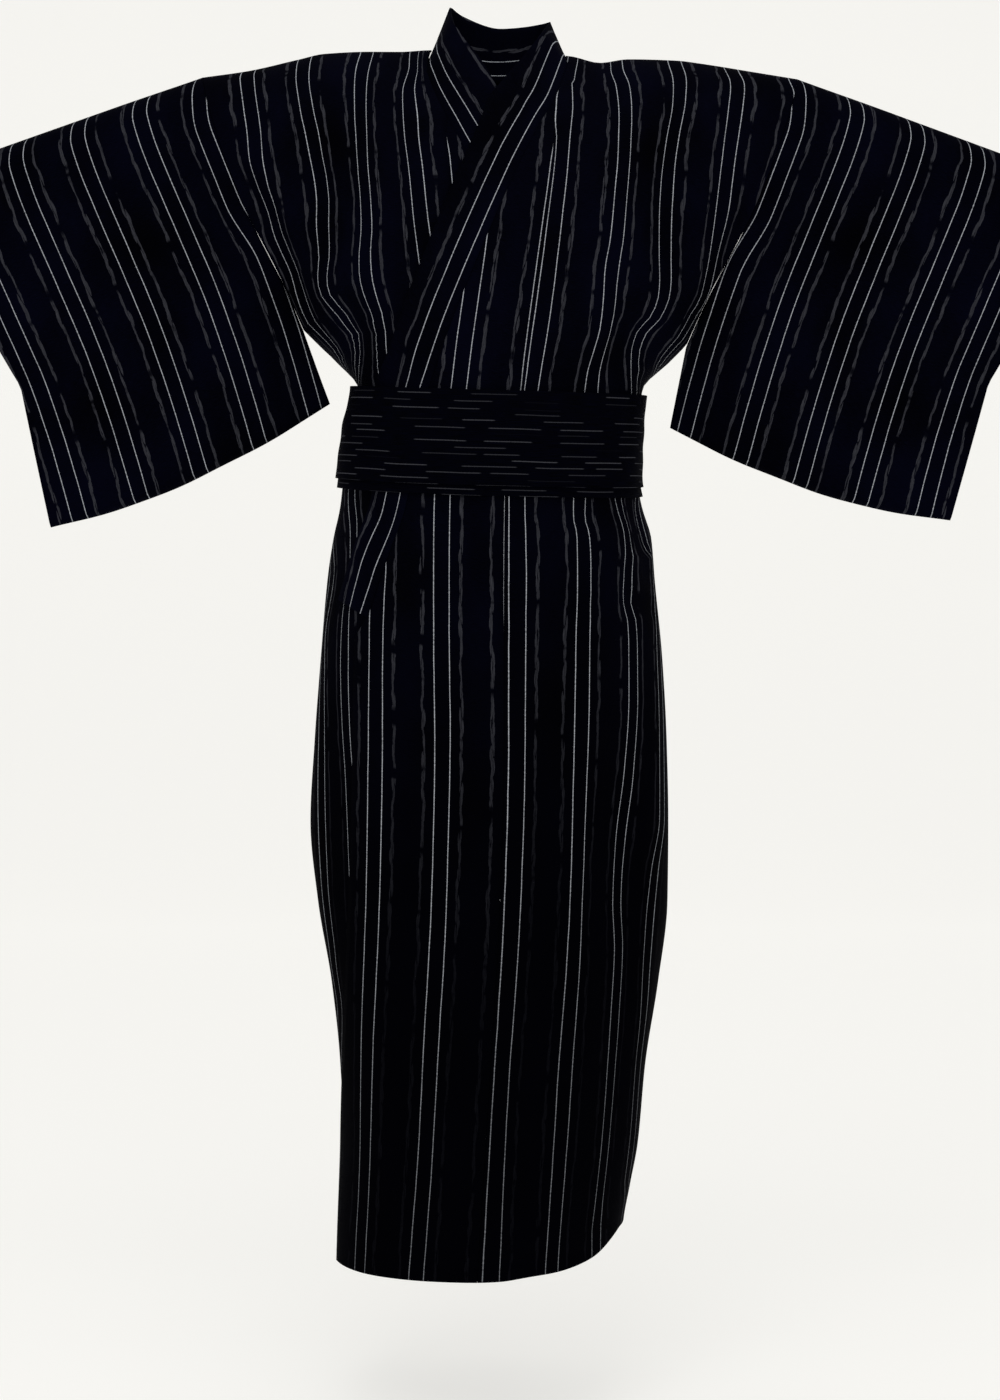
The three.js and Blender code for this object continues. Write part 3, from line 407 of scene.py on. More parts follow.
def depth_at(face, x, z, layer):
    """How far in front of Y 0, or behind it, the cloth stands at a place."""
    x, z = np.broadcast_arrays(np.asarray(x, dtype=float), np.asarray(z, dtype=float))
    part = np.clip(np.abs(x) / width_at(x, z, layer), 0, 1)
    up = sided(x, lambda side: rise(side, z))
    arm = armhole_depth(up)
    full = (ring_front(z) if face < 0 else ring_back(z)) + layer
    power = ring_power(z)
    rounded = (1 - part ** power) ** (1 / power)
    flat = 1 - part ** CHEST_POWER
    across = mix(rounded, flat, ease(up / ARM_BLEND))
    drop = np.maximum(top_line(x) - z, 0)
    fall = fall_front(np.abs(x)) if face < 0 else fall_back(np.abs(x))
    fallen = 1 - np.exp(-np.sqrt(drop * drop + 2 * FALL_ROUND * drop) / fall)
    falls = mix(1, fallen, ease((z - FALL_ENDS["from"]) / FALL_ENDS["over"]))
    calm = np.maximum(ease((1 - part) / FOLD_CALM["seam"]), ease(up / FOLD_CALM["arm"]))
    folded = folds(face, x, z) * ease(drop / FOLD_CALM["top"]) * calm
    return mix(arm, full, across) * falls + folded


def seen(px, py, layer):
    """A point on the front where the photograph shows it."""
    px, py = np.asarray(px, dtype=float), np.asarray(py, dtype=float)
    y = np.full(np.broadcast(px, py).shape, FRONT_GUESS)
    for _ in range(ROUNDS["seen"]):
        x, z = seen_at(px, py, y)
        y = -depth_at(-1, x, z, layer)
    return x, y, z


def seen_at(px, py, y):
    """X and Z of what the photograph shows at a place, when its Y is known."""
    scale = PICTURE["mm_per_pixel"] * (PICTURE["eye_back"] + y) / PICTURE["eye_back"]
    return ((px - PICTURE["middle_x"]) * scale,
            PICTURE["eye_up"] - (py - PICTURE["middle_y"]) * scale)


def seam_line(points, layer, first=()):
    """X at each height of a line given in the photograph's pixels."""
    px, py = np.array(points, dtype=float).T
    x, _, z = seen(px, py, layer)
    for at_x, at_z in first:
        x, z = np.append(x, at_x), np.append(z, at_z)
    order = np.argsort(z)
    keep = np.concatenate([[True], np.diff(z[order]) > 1e-6])
    return curve({"z": z[order][keep], "x": x[order][keep]}, "z", "x")


def collar_seam(rows):
    """The collar's seam in the photograph's pixels, where the collar lies on the front."""
    near = rows["lie"] > COLLAR_FLAT["sewn"]
    return list(zip(rows["seam_px"][near], rows["seam_py"][near]))


def neck_corner(side):
    """Where the front edge meets the shoulder line."""
    x = float(NECK[side]["half"]) * SIGN[side]
    return x, float(top_line(np.array(x)))


left_front_edge = seam_line(LEFT_FRONT_EDGE, LAYER, [neck_corner("right")])
right_front_edge = seam_line(RIGHT_FRONT_EDGE, 0, [neck_corner("left")])
left_overlap_edge = seam_line(collar_seam(LEFT_COLLAR) + LEFT_OVERLAP_EDGE, LAYER)
right_overlap_edge = seam_line(collar_seam(RIGHT_COLLAR) + RIGHT_OVERLAP_EDGE, 0)
OVERLAP_PLANS = (("right", left_front_edge, left_overlap_edge, LAYER),
                 ("left", right_front_edge, right_overlap_edge, 0.0))


def signed_power(v, p):
    return np.sign(v) * np.abs(v) ** p


def turn_of(x, z, layer):
    """The turn round the body's section at which the cloth has this X."""
    part = np.clip(np.abs(x) / width_at(x, z, layer), 0, 1)
    return np.sign(x) * np.arcsin(part ** (ring_power(z) / 2))


def across_at(turn, z, layer):
    """X at a turn round the body's section."""
    return width_at(turn, z, layer) * signed_power(np.sin(turn), 2 / ring_power(z))


def body_rows():
    """Rows of cloth: a part of the way down to the armpit up to 1, and a depth past it."""
    upper = (np.arange(SHOULDER_TURNS + 1) / SHOULDER_TURNS) ** SHOULDER_CROWD
    lower = np.arange(SKIRT_TOP, HEM, -SKIRT_STEP)
    return np.concatenate([upper, -lower, [-HEM]])


ROWS = body_rows()


def row_height(side, face, row, x):
    """The height of a cloth row, which the shoulder line and the hem lift bend."""
    x = np.asarray(x, dtype=float)
    upper = mix(top_line(x), ARMHOLE[side]["armpit_z"], np.minimum(row, 1))
    lift = lift_front(x) if face < 0 else lift_back(x)
    lower = -row + lift * ease((HEM_RISE["from"] + row) / HEM_RISE["over"])
    return np.where(row > PAST_ARMPIT, lower, upper)


def row_end(side, row, layer):
    """X where a row ends, at the armhole or the side seam."""
    x = np.full(np.shape(row), float(ARMHOLE[side]["shoulder_x"] + layer))
    for _ in range(ROUNDS["end"]):
        x = half_width(side, row_height(side, -1, row, SIGN[side] * x), layer)
    return SIGN[side] * x


def row_start(side, face, row, line):
    """X where a row meets a line that is given by height."""
    x = np.zeros(np.shape(row))
    for _ in range(ROUNDS["start"]):
        x = line(row_height(side, face, row, x))
    return x


def neck_edge(side, z):
    """X of the cut for the neck, behind."""
    half, sink = NECK[side]["half"], NECK[side]["sink"]
    drop = np.clip((neck_corner(side)[1] - z) / sink, 0, 1)
    return SIGN[side] * half * np.sqrt(1 - drop * drop)


def panel_layer(side, face, behind):
    """How far out a panel lies: the left front lies over the right one."""
    if side == "left":
        return np.zeros(np.shape(behind))
    if face < 0:
        return np.full(np.shape(behind), LAYER)
    return LAYER * (1 - ease((behind / DEGREE - PANEL_MEETS["from"]) / PANEL_MEETS["over"]))


def arcs_of(grid):
    """How far each point of a grid lies along its row."""
    steps = np.linalg.norm(np.diff(grid, axis=1), axis=2)
    return np.concatenate([np.zeros((grid.shape[0], 1)), np.cumsum(steps, axis=1)], axis=1)


def down_of(grid, middle):
    """How far each point lies down its column from a middle row."""
    steps = np.linalg.norm(np.diff(grid, axis=0), axis=2)
    down = np.concatenate([np.zeros((1, grid.shape[1])), np.cumsum(steps, axis=0)])
    return down[middle] - down


def drawn_stripes(grid, arcs, lines, layer):
    """Moves the places across the cloth so that its stripes run as the photograph shows."""
    places = sorted(lines)
    reads = [seam_line(lines[p], layer) for p in places]
    sign = 1 if grid[0, -1, 0] > 0 else -1
    out = np.empty_like(arcs)
    for i in range(grid.shape[0]):
        xs, zs, along = grid[i, :, 0] * sign, grid[i, :, 2], arcs[i]
        at, move = [0.0], [0.0]
        for place, read in zip(places, reads):
            z = zs.mean()
            for _ in range(ROUNDS["stripe"]):
                x = sign * float(read(z))
                z = float(np.interp(x, xs, zs))
            arc = float(np.interp(x, xs, along)) + max(x - xs[-1], 0)
            if arc > at[-1] + STRIPE_GAP:
                # Near the skirt's outline a read is doubtful, so the last shift is kept.
                turned = ease((1 - x / xs[-1]) / STRIPE_HOLD["near"])
                held = mix(1, turned, ease((STRIPE_HOLD["from"] - z) / STRIPE_HOLD["over"]))
                at.append(arc)
                move.append(mix(move[-1], place - arc, held) if len(move) > 1 else place - arc)
        out[i] = along + np.interp(along, at, move)
    return out


def body_grid(side):
    """One body panel's outside, from the front hem over the shoulder to the back hem."""
    sign, end_layer = SIGN[side], LAYERS[side]
    front_edge = right_front_edge if side == "left" else left_front_edge
    columns = np.arange(BODY_COLUMNS + 1) / BODY_COLUMNS
    faces = []
    for face in (-1, 1):
        row = ROWS[:, None]
        end = row_end(side, row, end_layer)
        edge = front_edge if face < 0 else (lambda z: neck_edge(side, z))
        start = row_start(side, face, row, edge) + sign * SEAM
        z_start = row_height(side, face, row, start)
        if face < 0:
            tucked = ease((z_start - COLLAR_TUCK["from"]) / COLLAR_TUCK["over"])
            start = start - sign * COLLAR_TUCK["deep"] * tucked
        z_end = row_height(side, face, row, end)
        power = ring_power(z_end)
        whole = np.abs(end)
        crossed = turn_of(start, z_start, end_layer) * sign
        plain = np.arcsin(np.clip(np.abs(start) / whole, 0, 1) ** (power / 2))
        turn = mix(np.where(start * sign < 0, crossed, plain), QUARTER, columns[None, :])
        x = sign * whole * signed_power(np.sin(turn), 2 / power)
        over = across_at(turn * sign, z_start, end_layer)
        x = np.where(turn < 0, over, x)
        behind = turn if face < 0 else math.pi - turn
        layer = panel_layer(side, face, behind)
        if face > 0:
            x = x * (sided(x, lambda s: half_width(s, z_end, layer)) / whole)
        x[:, :1] = start
        x[:, -1:] = end
        z = row_height(side, face, row, x)
        top = np.maximum(top_line(x) - z, 0)
        depth = depth_at(face, x, z, layer) + SIDE_SEAM["half"] * np.clip(top / TOP_ROUND, 0, 1)
        # Below the armpit the side seam is shut, so front and back meet there.
        sewn = z_end < ARMHOLE[side]["armpit_z"] - SIDE_SEAM["below"]
        depth[:, -1:] = np.where(sewn, SIDE_SEAM["half"], depth[:, -1:])
        y = face * np.where(row == 0, 0.0, depth)
        faces.append(np.stack([x, y, z], axis=2))
    front, back = faces
    return np.concatenate([front[::-1], back[1:]])


def body_cloth(side):
    """The panel's grid with its place in the cloth."""
    grid = body_grid(side)
    middle = len(ROWS) - 1
    arcs = arcs_of(grid)
    lines = STRIPES_RIGHT if side == "left" else STRIPES_LEFT
    front = drawn_stripes(grid[:middle + 1], arcs[:middle + 1], lines, LAYERS[side])
    first = min(lines)
    whole = arcs[middle:] + np.abs(grid[middle:, :1, 0])
    shoulder = np.interp(np.abs(grid[middle:, :, 0]), np.abs(grid[middle, :, 0]),
                         whole[0] - front[-1])
    drop = np.maximum(grid[middle, None, :, 2] - grid[middle:, :, 2], 0)
    moved = BACK_SHIFT["right" if side == "left" else "left"]
    back = whole - mix(shoulder, moved, ease(drop / BACK_BLEND))
    across = np.concatenate([front, back[1:]]) - first
    return grid, across, -np.abs(down_of(grid, middle))


def overlap_cloth(side, front_edge, free_edge, layer):
    """An overlap panel, from the front's seam to its free edge."""
    sign = SIGN[side]
    columns = OVERLAP["columns"]
    first = (OVERLAP["top"] / OVERLAP["top_step"]) ** SHOULDER_CROWD
    upper = ROWS[(ROWS < PAST_ARMPIT) & (ROWS > first)]
    rows = np.concatenate([[first], upper, ROWS[ROWS > PAST_ARMPIT]])[:, None]
    start = row_start(side, -1, rows, front_edge) - sign * SEAM
    end = row_start(side, -1, rows, free_edge) + sign * OVERLAP["gap"]
    height = row_height(side, -1, rows, end)
    share = np.arange(columns + 1)[None, :] / columns
    turn = mix(turn_of(start, height, layer), turn_of(end, height, layer), share)
    x = across_at(turn, height, layer)
    x[:, :1] = start
    z = row_height(side, -1, rows, x)
    y = -depth_at(-1, x, z, layer) - SEAM - SEAM_PROUD
    grid = np.stack([x, y, z], axis=2)
    arcs, down = arcs_of(grid), down_of(grid, 0)
    # The seam takes in a little more cloth at both ends, and wavers between them.
    foot, top = TAKEN["foot"], TAKEN["top"]
    hidden = (foot["more"] * ease((foot["from"] - down) / foot["over"])
              + top["more"] * ease((down - top["from"]) / top["over"]))
    taken = TAKEN["plain"] + TAKEN["waver"] * np.sin(down / TAKEN["step"]) + hidden
    return grid, arcs + OVERLAP["lap"] + taken * (1 - ease(arcs / OVERLAP["edge"])), down


def station_table(rows, layer, steps):
    """One half of the collar: its seam, its free edge, how flat it lies and its layer."""
    count = len(rows["lie"])
    k = np.arange(steps) / (steps - 1) * (count - 1)
    index = dict(rows, k=np.arange(count, dtype=float))
    at = {name: curve(index, "k", name)(k) for name in COLLAR_COLUMNS.split()}
    seam = np.stack(seen(at["seam_px"], at["seam_py"], layer), axis=1)
    lying = np.stack(seen(at["free_px"], at["free_py"], layer), axis=1)
    y = at["free_y"] - layer * COLLAR_NECK["layer"]
    x, z = seen_at(at["free_px"], at["free_py"], y)
    standing = np.stack([x, y, z], axis=1)
    blend = ease((at["lie"] - COLLAR_FLAT["from"]) / COLLAR_FLAT["over"])[:, None]
    free = mix(standing, lying, blend)
    flat = mix(at["lie"] * COLLAR_FLAT["standing"], 1.0, blend[:, 0])
    return seam, free, flat, np.full(steps, float(layer))


def collar_cloth():
    """The collar band, up the left front, round the neck and down the right front."""
    left = station_table(LEFT_COLLAR, LAYER + 1, COLLAR_STEPS["left"])
    right = [part[::-1] for part in station_table(RIGHT_COLLAR, 1, COLLAR_STEPS["right"])]
    steps = COLLAR_STEPS["neck"]
    turns = 1 - 2 * np.arange(1, steps) / steps
    half, sink = [sided(turns, lambda side: NECK[side][key]) for key in ("half", "sink")]
    x = half * np.sin(turns * QUARTER)
    z = top_line(np.where(turns < 0, -half, half)) - sink * np.cos(turns * QUARTER)
    y = depth_at(1, x, z, 0) + COLLAR_NECK["out"]
    z = z - COLLAR_NECK["down"] - COLLAR_NECK["behind"] * np.cos(turns * QUARTER) ** 2
    seam = np.stack([x * COLLAR_NECK["in"], y, z], axis=1)
    free = np.stack([curve(COLLAR_STAND, "round", key)(turns) for key in "xyz"], axis=1)
    neck = (seam, free, np.zeros(steps - 1), np.ones(steps - 1))
    seam, free, flat, layer = [np.concatenate(parts) for parts in zip(left, neck, right)]
    # Both edges are softened, so that the band turns smoothly where its parts meet.
    for edge in (seam, free):
        for axis in range(3):
            padded = np.pad(edge[:, axis], 2, mode="edge")
            edge[2:-2, axis] = np.convolve(padded, SOFTEN, mode="valid")[2:-2]
    share = np.linspace(0, 1, COLLAR_STEPS["across"] + 1)[None, :]
    x, y, z = [mix(seam[:, k, None], free[:, k, None], share) for k in range(3)]
    lying = -depth_at(-1, x, z, layer[:, None])
    y = mix(y, lying, flat[:, None])
    grid = np.stack([x, y, z], axis=2)
    return grid, arcs_of(grid) - COLLAR_LAP, down_of(grid, len(left[0]))


def sleeve_cloth(side):
    """A sleeve as a ring of rows: down its front, under the fold and up its back."""
    plan, sign, layer = SLEEVE[side], SIGN[side], LAYERS[side]
    hang_x, hang_z = seen_at(*np.array(plan["hang"], dtype=float).T, 0.0)
    hang = curve({"z": hang_z, "x": hang_x}, "z", "x")
    foot = hang_z[2]
    corners = [seen_at(*plan[key], 0.0) for key in ("cuff_top", "cuff_foot", "outer_foot")]
    upper, lower, along = [SLEEVE_STEPS[key] for key in ("upper", "lower", "along")]
    row = (np.arange(upper + 1) / upper) ** SHOULDER_CROWD
    end = row_end(side, row, layer)
    height = row_height(side, -1, row, end)
    closing = SLEEVE_SHUT * ease(np.arange(upper + 1) / upper / SLEEVE_SHUTS_BY)
    part = np.arange(1, lower + 1) / lower
    hang_height = mix(float(ARMHOLE[side]["armpit_z"]), foot, part)
    x = np.concatenate([end + sign * ARM["proud"], hang(hang_height)])
    z = np.concatenate([height, hang_height])
    down = np.concatenate([(1 - SLEEVE_HANG) * row, mix(1 - SLEEVE_HANG, 1, part)])
    cuff = 1 - SLEEVE_CLOSED
    t = np.clip(down / cuff, 0, 1)
    s = np.clip((down - cuff) / SLEEVE_CLOSED, 0, 1)
    out_x, out_z = [np.where(down < cuff, mix(top, mouth, t), mix(mouth, bottom, s))
                    for top, mouth, bottom in zip(*corners)]
    wide = ARM["cuff_open"] * np.clip(np.sin(math.pi * t), 0, 1) ** ARM["cuff_round"]
    wide = np.maximum(wide, SLEEVE_SHUT * ease(down * ARM["cuff_grows"]))
    out_depth = np.where(down < cuff, wide, SLEEVE_SHUT)
    a = np.arange(along + 1)[:, None] / along
    (ax, ay), (bx, by) = plan["line"]
    away = math.hypot(bx - ax, by - ay)
    faces = []
    for face in (-1, 1):
        depth = np.maximum(depth_at(face, end, height, layer), closing)
        first = np.concatenate([depth, np.full(lower, SLEEVE_SHUT)])[None, :]
        drop = down * SLEEVE_DEEP
        radius = mix(ARM["radius_in"], ARM["radius_out"], a)
        over = np.sqrt(drop * drop + 2 * FALL_ROUND * drop) / (radius * ARM["soft"])
        below = np.clip((drop - radius) / (SLEEVE_DEEP - radius), 0, 1)
        bag = mix(radius, ARM["bag"], below ** ARM["taper"]) * (1 - np.exp(-over))
        hold = mix(first, bag, ease(a / SLEEVE_BLEND["in"]))
        out = ease((a - SLEEVE_BLEND["out_from"]) / SLEEVE_BLEND["out_over"])
        hold = mix(hold, out_depth, out)
        gx = mix(x, out_x, a)
        gz = mix(z, out_z, a) - SLEEVE_BOW * np.sin(math.pi * a) * down ** 3
        wave = sleeve_waves(a, down, face)
        gy = face * hold + wave
        gy[:, 0] = 0
        gy[:, -1] = wave[:, -1]
        faces.append(np.stack([gx, gy, gz], axis=2))
    front, back = faces
    back[:, -1] = front[:, -1]
    grid = np.concatenate([front, back[:, -2:0:-1]], axis=1)
    # The stripes run along the armhole's seam line, so they are counted from it.
    scale = PICTURE["mm_per_pixel"]
    px = PICTURE["middle_x"] + grid[:, :, 0] / scale
    py = PICTURE["middle_y"] - (grid[:, :, 2] - PICTURE["eye_up"]) / scale
    off = sign * ((px - ax) * (by - ay) - (py - ay) * (bx - ax)) / away * scale
    ring_down = np.concatenate([down, down[-2:0:-1]])[None, :]
    near = 1 - ease((off - SLEEVE_NEAR["from"]) / SLEEVE_NEAR["over"])
    drift = mix(curve(SLEEVE_DRIFT, "down", "far")(ring_down),
                curve(SLEEVE_DRIFT, "down", "near")(ring_down), near)
    across = (off - drift - plan["first"]) * STRIPE_STEP / plan["period"]
    length = ((px - ax) * (bx - ax) + (py - ay) * (by - ay)) / away * scale
    return grid, across, -length


def sleeve_waves(a, down, face):
    """How both walls of the hanging sleeve sway together, and a fold that pinches them."""
    hung = ease((down - SLEEVE_HUNG["from"]) / SLEEVE_HUNG["over"]) * ease(a / SLEEVE_HUNG["in"])
    sway = sum(out * np.sin(a * along + down * lean + start)
               for out, along, lean, start in SLEEVE_SWAY)
    fold = SLEEVE_PINCH
    pinch = fold["out"] * np.exp(-((down - fold["down"] - a * fold["slope"]) / fold["wide"]) ** 2)
    pinch = pinch * ease((fold["stop"] - a) / fold["fade"]) * ease(a / fold["wide"])
    return sway * hung + face * pinch * fold["share"]


def sash_height(turn):
    """The height of the band's middle, which is lowest in front."""
    return (SASH["middle"] - SASH["front_drop"] * np.cos(turn)
            - SASH["side_drop"] * np.sin(turn))


def sash_layer(turn):
    """How far out the band lies: in front it goes over both overlaps."""
    (start, rises), (stop, falls) = SASH_OVER
    front = ease((turn / DEGREE - start) / rises) * ease((stop - turn / DEGREE) / falls)
    return mix(SASH["back"], SASH["first"], front)


def ring_point(turn, z, layer):
    """A point of the waist's section, at a turn from the front."""
    power = ring_power(z)
    x = across_at(turn, z, layer)
    full = np.where(np.cos(turn) > 0, ring_front(z), ring_back(z)) + layer
    return np.stack([x, -full * signed_power(np.cos(turn), 2 / power), z], axis=-1)


def band_cloth():
    """The band, wound twice from behind, the second turn over the first."""
    steps, columns = BAND_STEPS["along"], BAND_STEPS["across"]
    wound = np.arange(steps + 1)[:, None] / steps * WINDING["turns"] * FULL * WINDING["share"]
    turn = wound % FULL - math.pi
    second = ease((wound / FULL - WINDING["second"]) / WINDING["over"])
    share = 0.5 - np.arange(columns + 1)[None, :] / columns
    z = sash_height(turn) - SASH["stagger"] * (1 - second) + SASH["width"] * share
    sway = BAND_RIPPLE["sway"] * np.sin(turn * BAND_RIPPLE["round"])
    ripple = BAND_RIPPLE["out"] * np.sin(share * BAND_RIPPLE["ribs"] + sway)
    ripple = ripple * (1 - (2 * share) ** 2)
    grid = ring_point(turn + 0 * z, z, sash_layer(turn) + SASH["step"] * second + ripple)
    length = np.linalg.norm(np.diff(grid[:, columns // 2], axis=0), axis=1)
    along = np.concatenate([[0], np.cumsum(length)])[:, None] + 0 * z
    return grid, along, share * SASH["width"] + 0 * along


def tilted(s, t):
    """X and Z of a place along and across the tilted knot."""
    turn = KNOT["tilt"]
    return (s * math.cos(turn) - t * math.sin(turn),
            KNOT["z"] + s * math.sin(turn) + t * math.cos(turn))


def behind_band(x):
    """Y of the cloth behind the knot, which is stiff and so flatter than the waist."""
    return depth_at(1, x * KNOT["flat"], np.full(x.shape, float(KNOT["z"])), 0)


def end_cloth(start, stop, bend, lift):
    """One end of the sash, which comes out of the knot and bends."""
    steps, columns = END_STEPS["along"], END_STEPS["across"]
    s = np.linspace(start, stop, steps + 1)[:, None]
    t = SASH_END["width"] * (0.5 - np.arange(columns + 1)[None, :] / columns)
    past = np.maximum(np.abs(s) - KNOT["across"], 0)
    slope = KNOT["tilt"] + bend * past * np.sign(s)
    x, z = tilted(s, 0.5 * bend * past * past)
    x = x - t * np.sin(slope)
    z = z + t * np.cos(slope)
    wave = END_WAVE["out"] * np.sin(t / END_WAVE["step"]) * ease(past / END_WAVE["from"])
    y = behind_band(x) + lift + wave
    return np.stack([x, y, z], axis=2), s + 0 * t, t + 0 * s


def knot_cloth():
    """The knot, a flattened ring with soft creases."""
    columns, rows = KNOT_STEPS["around"], KNOT_STEPS["along"]
    turn = np.arange(columns)[None, :] / columns * FULL
    share = np.linspace(-1, 1, rows)[:, None]
    s = share * KNOT["across"]
    pinch = 1 - KNOT["waist"] * (1 - share ** 2)
    t = KNOT["high"] * pinch * signed_power(np.cos(turn), KNOT["square"])
    out = KNOT["deep"] * signed_power(np.sin(turn), KNOT["square"])
    crease = np.sin(t / KNOT_CREASE["step"] + share * KNOT_CREASE["lean"])
    crease = KNOT_CREASE["out"] * crease * (np.sin(turn) > 0)
    x, z = tilted(s, t)
    y = behind_band(x) + KNOT["out"] + out + crease
    around = turn / FULL * 2 * (KNOT["high"] + KNOT["deep"]) * KNOT["girth"]
    return np.stack([x, y, z], axis=2), around + 0 * s, s + 0 * around


def shell(name, grid, across, down, thick, away, ring=False, upright=None):
    """A closed sheet of cloth from the grid of its outside, with its place in the cloth as UVs."""
    rows, columns = grid.shape[:2]
    if ring:
        before, after = np.roll(grid, 1, axis=1), np.roll(grid, -1, axis=1)
    else:
        index = np.arange(columns)
        before = grid[:, np.maximum(index - 1, 0)]
        after = grid[:, np.minimum(index + 1, columns - 1)]
    index = np.arange(rows)
    along = grid[np.minimum(index + 1, rows - 1)] - grid[np.maximum(index - 1, 0)]
    normal = np.cross(along, after - before)
    size = np.linalg.norm(normal, axis=2, keepdims=True)
    normal = normal / np.maximum(size, TINY)
    flip = np.sum(normal * away) < 0
    if flip:
        normal = -normal
    if upright is not None:
        normal = upright(normal)
        normal = normal / np.maximum(np.linalg.norm(normal, axis=2, keepdims=True), TINY)
    inner = grid - normal * thick
    points = np.concatenate([grid.reshape(-1, 3), inner.reshape(-1, 3)]) * MM
    inside = rows * columns
    ids = np.arange(inside).reshape(rows, columns)
    if ring:
        ids = np.concatenate([ids, ids[:, :1]], axis=1)
    a, b, c, d = ids[:-1, :-1], ids[1:, :-1], ids[1:, 1:], ids[:-1, 1:]
    quads = [np.stack([a, b, c, d], axis=-1).reshape(-1, 4),
             np.stack([a, d, c, b], axis=-1).reshape(-1, 4) + inside]
    edges = [(ids[0], False), (ids[-1], True)]
    if not ring:
        edges += [(ids[:, 0], True), (ids[:, -1], False)]
    for edge, turned in edges:
        p, q = edge[:-1], edge[1:]
        rim = np.stack([p, q, q + inside, p + inside], axis=-1)
        quads.append(rim[:, ::-1] if turned else rim)
    faces = np.concatenate(quads)
    if flip:
        faces = faces[:, ::-1]
    uv = np.stack([across, down], axis=2).reshape(-1, 2) * MM
    uv = np.concatenate([uv, uv])
    mesh = bpy.data.meshes.new(name)
    mesh.vertices.add(len(points))
    mesh.vertices.foreach_set("co", points.ravel())
    mesh.loops.add(faces.size)
    mesh.loops.foreach_set("vertex_index", faces.ravel())
    mesh.polygons.add(len(faces))
    mesh.polygons.foreach_set("loop_start", np.arange(0, faces.size, 4))
    mesh.update(calc_edges=True)
    layer = mesh.uv_layers.new(name="cloth")
    layer.data.foreach_set("uv", uv[faces.ravel()].ravel())
    mesh.polygons.foreach_set("use_smooth", np.ones(len(faces), dtype=bool))
    mesh.validate()
    return placed(name, mesh)


def placed(name, data):
    """An object of this data, in the scene."""
    thing = bpy.data.objects.new(name, data)
    bpy.context.scene.collection.objects.link(thing)
    return thing


class Wire:
    """A node socket, so that node maths reads as plain expressions."""

    def __init__(self, tree, socket):
        self.tree = tree
        self.socket = socket

    def add(self, kind, settings, inputs, outlet=0):
        """Adds a node: its type, its settings, and the values or wires of its inputs."""
        return wired(self.tree, kind, settings, inputs, outlet)

    def maths(self, operation, *values):
        inputs = dict(enumerate((self,) + values))
        return self.add("ShaderNodeMath", {"operation": operation}, inputs)

    def __add__(self, other):
        return self.maths("ADD", other)

    __radd__ = __add__

    def __sub__(self, other):
        return self.maths("SUBTRACT", other)

    def __rsub__(self, other):
        return self.add("ShaderNodeMath", {"operation": "SUBTRACT"}, {0: other, 1: self})

    def __mul__(self, other):
        return self.maths("MULTIPLY", other)

    __rmul__ = __mul__

    def __truediv__(self, other):
        return self.maths("DIVIDE", other)

    def __rtruediv__(self, other):
        return self.add("ShaderNodeMath", {"operation": "DIVIDE"}, {0: other, 1: self})

    def __abs__(self):
        return self.maths("ABSOLUTE")

    def floor(self):
        return self.maths("FLOOR")

    def sign(self):
        return self.maths("SIGN")

    def part(self, name):
        """One named part of a vector."""
        return self.add("ShaderNodeSeparateXYZ", {}, {0: self}, "xyz".index(name))

    def between(self, low, high):
        """0 below low, 1 above high, and smooth in between."""
        inputs = {"Value": self, "From Min": low, "From Max": high, "To Min": 0.0, "To Max": 1.0}
        return self.add("ShaderNodeMapRange", {"interpolation_type": "SMOOTHSTEP"}, inputs)

    def noise(self, detail=2.0, rough=0.5):
        """Noise from 0 to 1 along this value."""
        inputs = {"W": self, "Scale": 1.0, "Detail": detail, "Roughness": rough}
        return self.add("ShaderNodeTexNoise", {"noise_dimensions": "1D"}, inputs)

    def scatter(self):
        """A random number for each whole value."""
        return self.add("ShaderNodeTexWhiteNoise", {"noise_dimensions": "1D"}, {"W": self})

    def flat_noise(self, other, detail=2.0):
        """Noise from 0 to 1 over this value and another."""
        place = self.add("ShaderNodeCombineXYZ", {}, {0: self, 1: other})
        inputs = {"Vector": place, "Scale": 1.0, "Detail": detail}
        return self.add("ShaderNodeTexNoise", {"noise_dimensions": "2D"}, inputs)

    def tint(self, first, second):
        """Mixes two colours by this value."""
        first, second = [value if isinstance(value, Wire) else (*value[:3], 1.0)
                         for value in (first, second)]
        inputs = {0: self, 6: first, 7: second}
        return self.add("ShaderNodeMix", {"data_type": "RGBA"}, inputs, 2)


def wired(tree, kind, settings, inputs, outlet=0):
    """Adds one node to a tree and gives a wire from one of its outlets."""
    node = tree.nodes.new(kind)
    for name, value in settings.items():
        setattr(node, name, value)
    for key, value in inputs.items():
        if isinstance(value, Wire):
            tree.links.new(value.socket, node.inputs[key])
        else:
            node.inputs[key].default_value = value
    return None if outlet is None else Wire(tree, node.outputs[outlet])


def new_finish(name):
    """A material with its shader, and the tree that feeds it."""
    material = bpy.data.materials.new(name)
    material.use_nodes = True
    return material, material.node_tree


def cloth_place(tree):
    """Where a point lies in its cloth, across and along, in millimetres."""
    place = wired(tree, "ShaderNodeUVMap", {"uv_map": "cloth"}, {})
    return place.part("x") * 1000.0, place.part("y") * 1000.0


def object_noise(tree, scale, detail):
    """Noise over the piece's own coordinates."""
    place = wired(tree, "ShaderNodeTexCoord", {}, {}, 3)
    inputs = {"Vector": place, "Scale": scale, "Detail": detail}
    return wired(tree, "ShaderNodeTexNoise", {}, inputs)


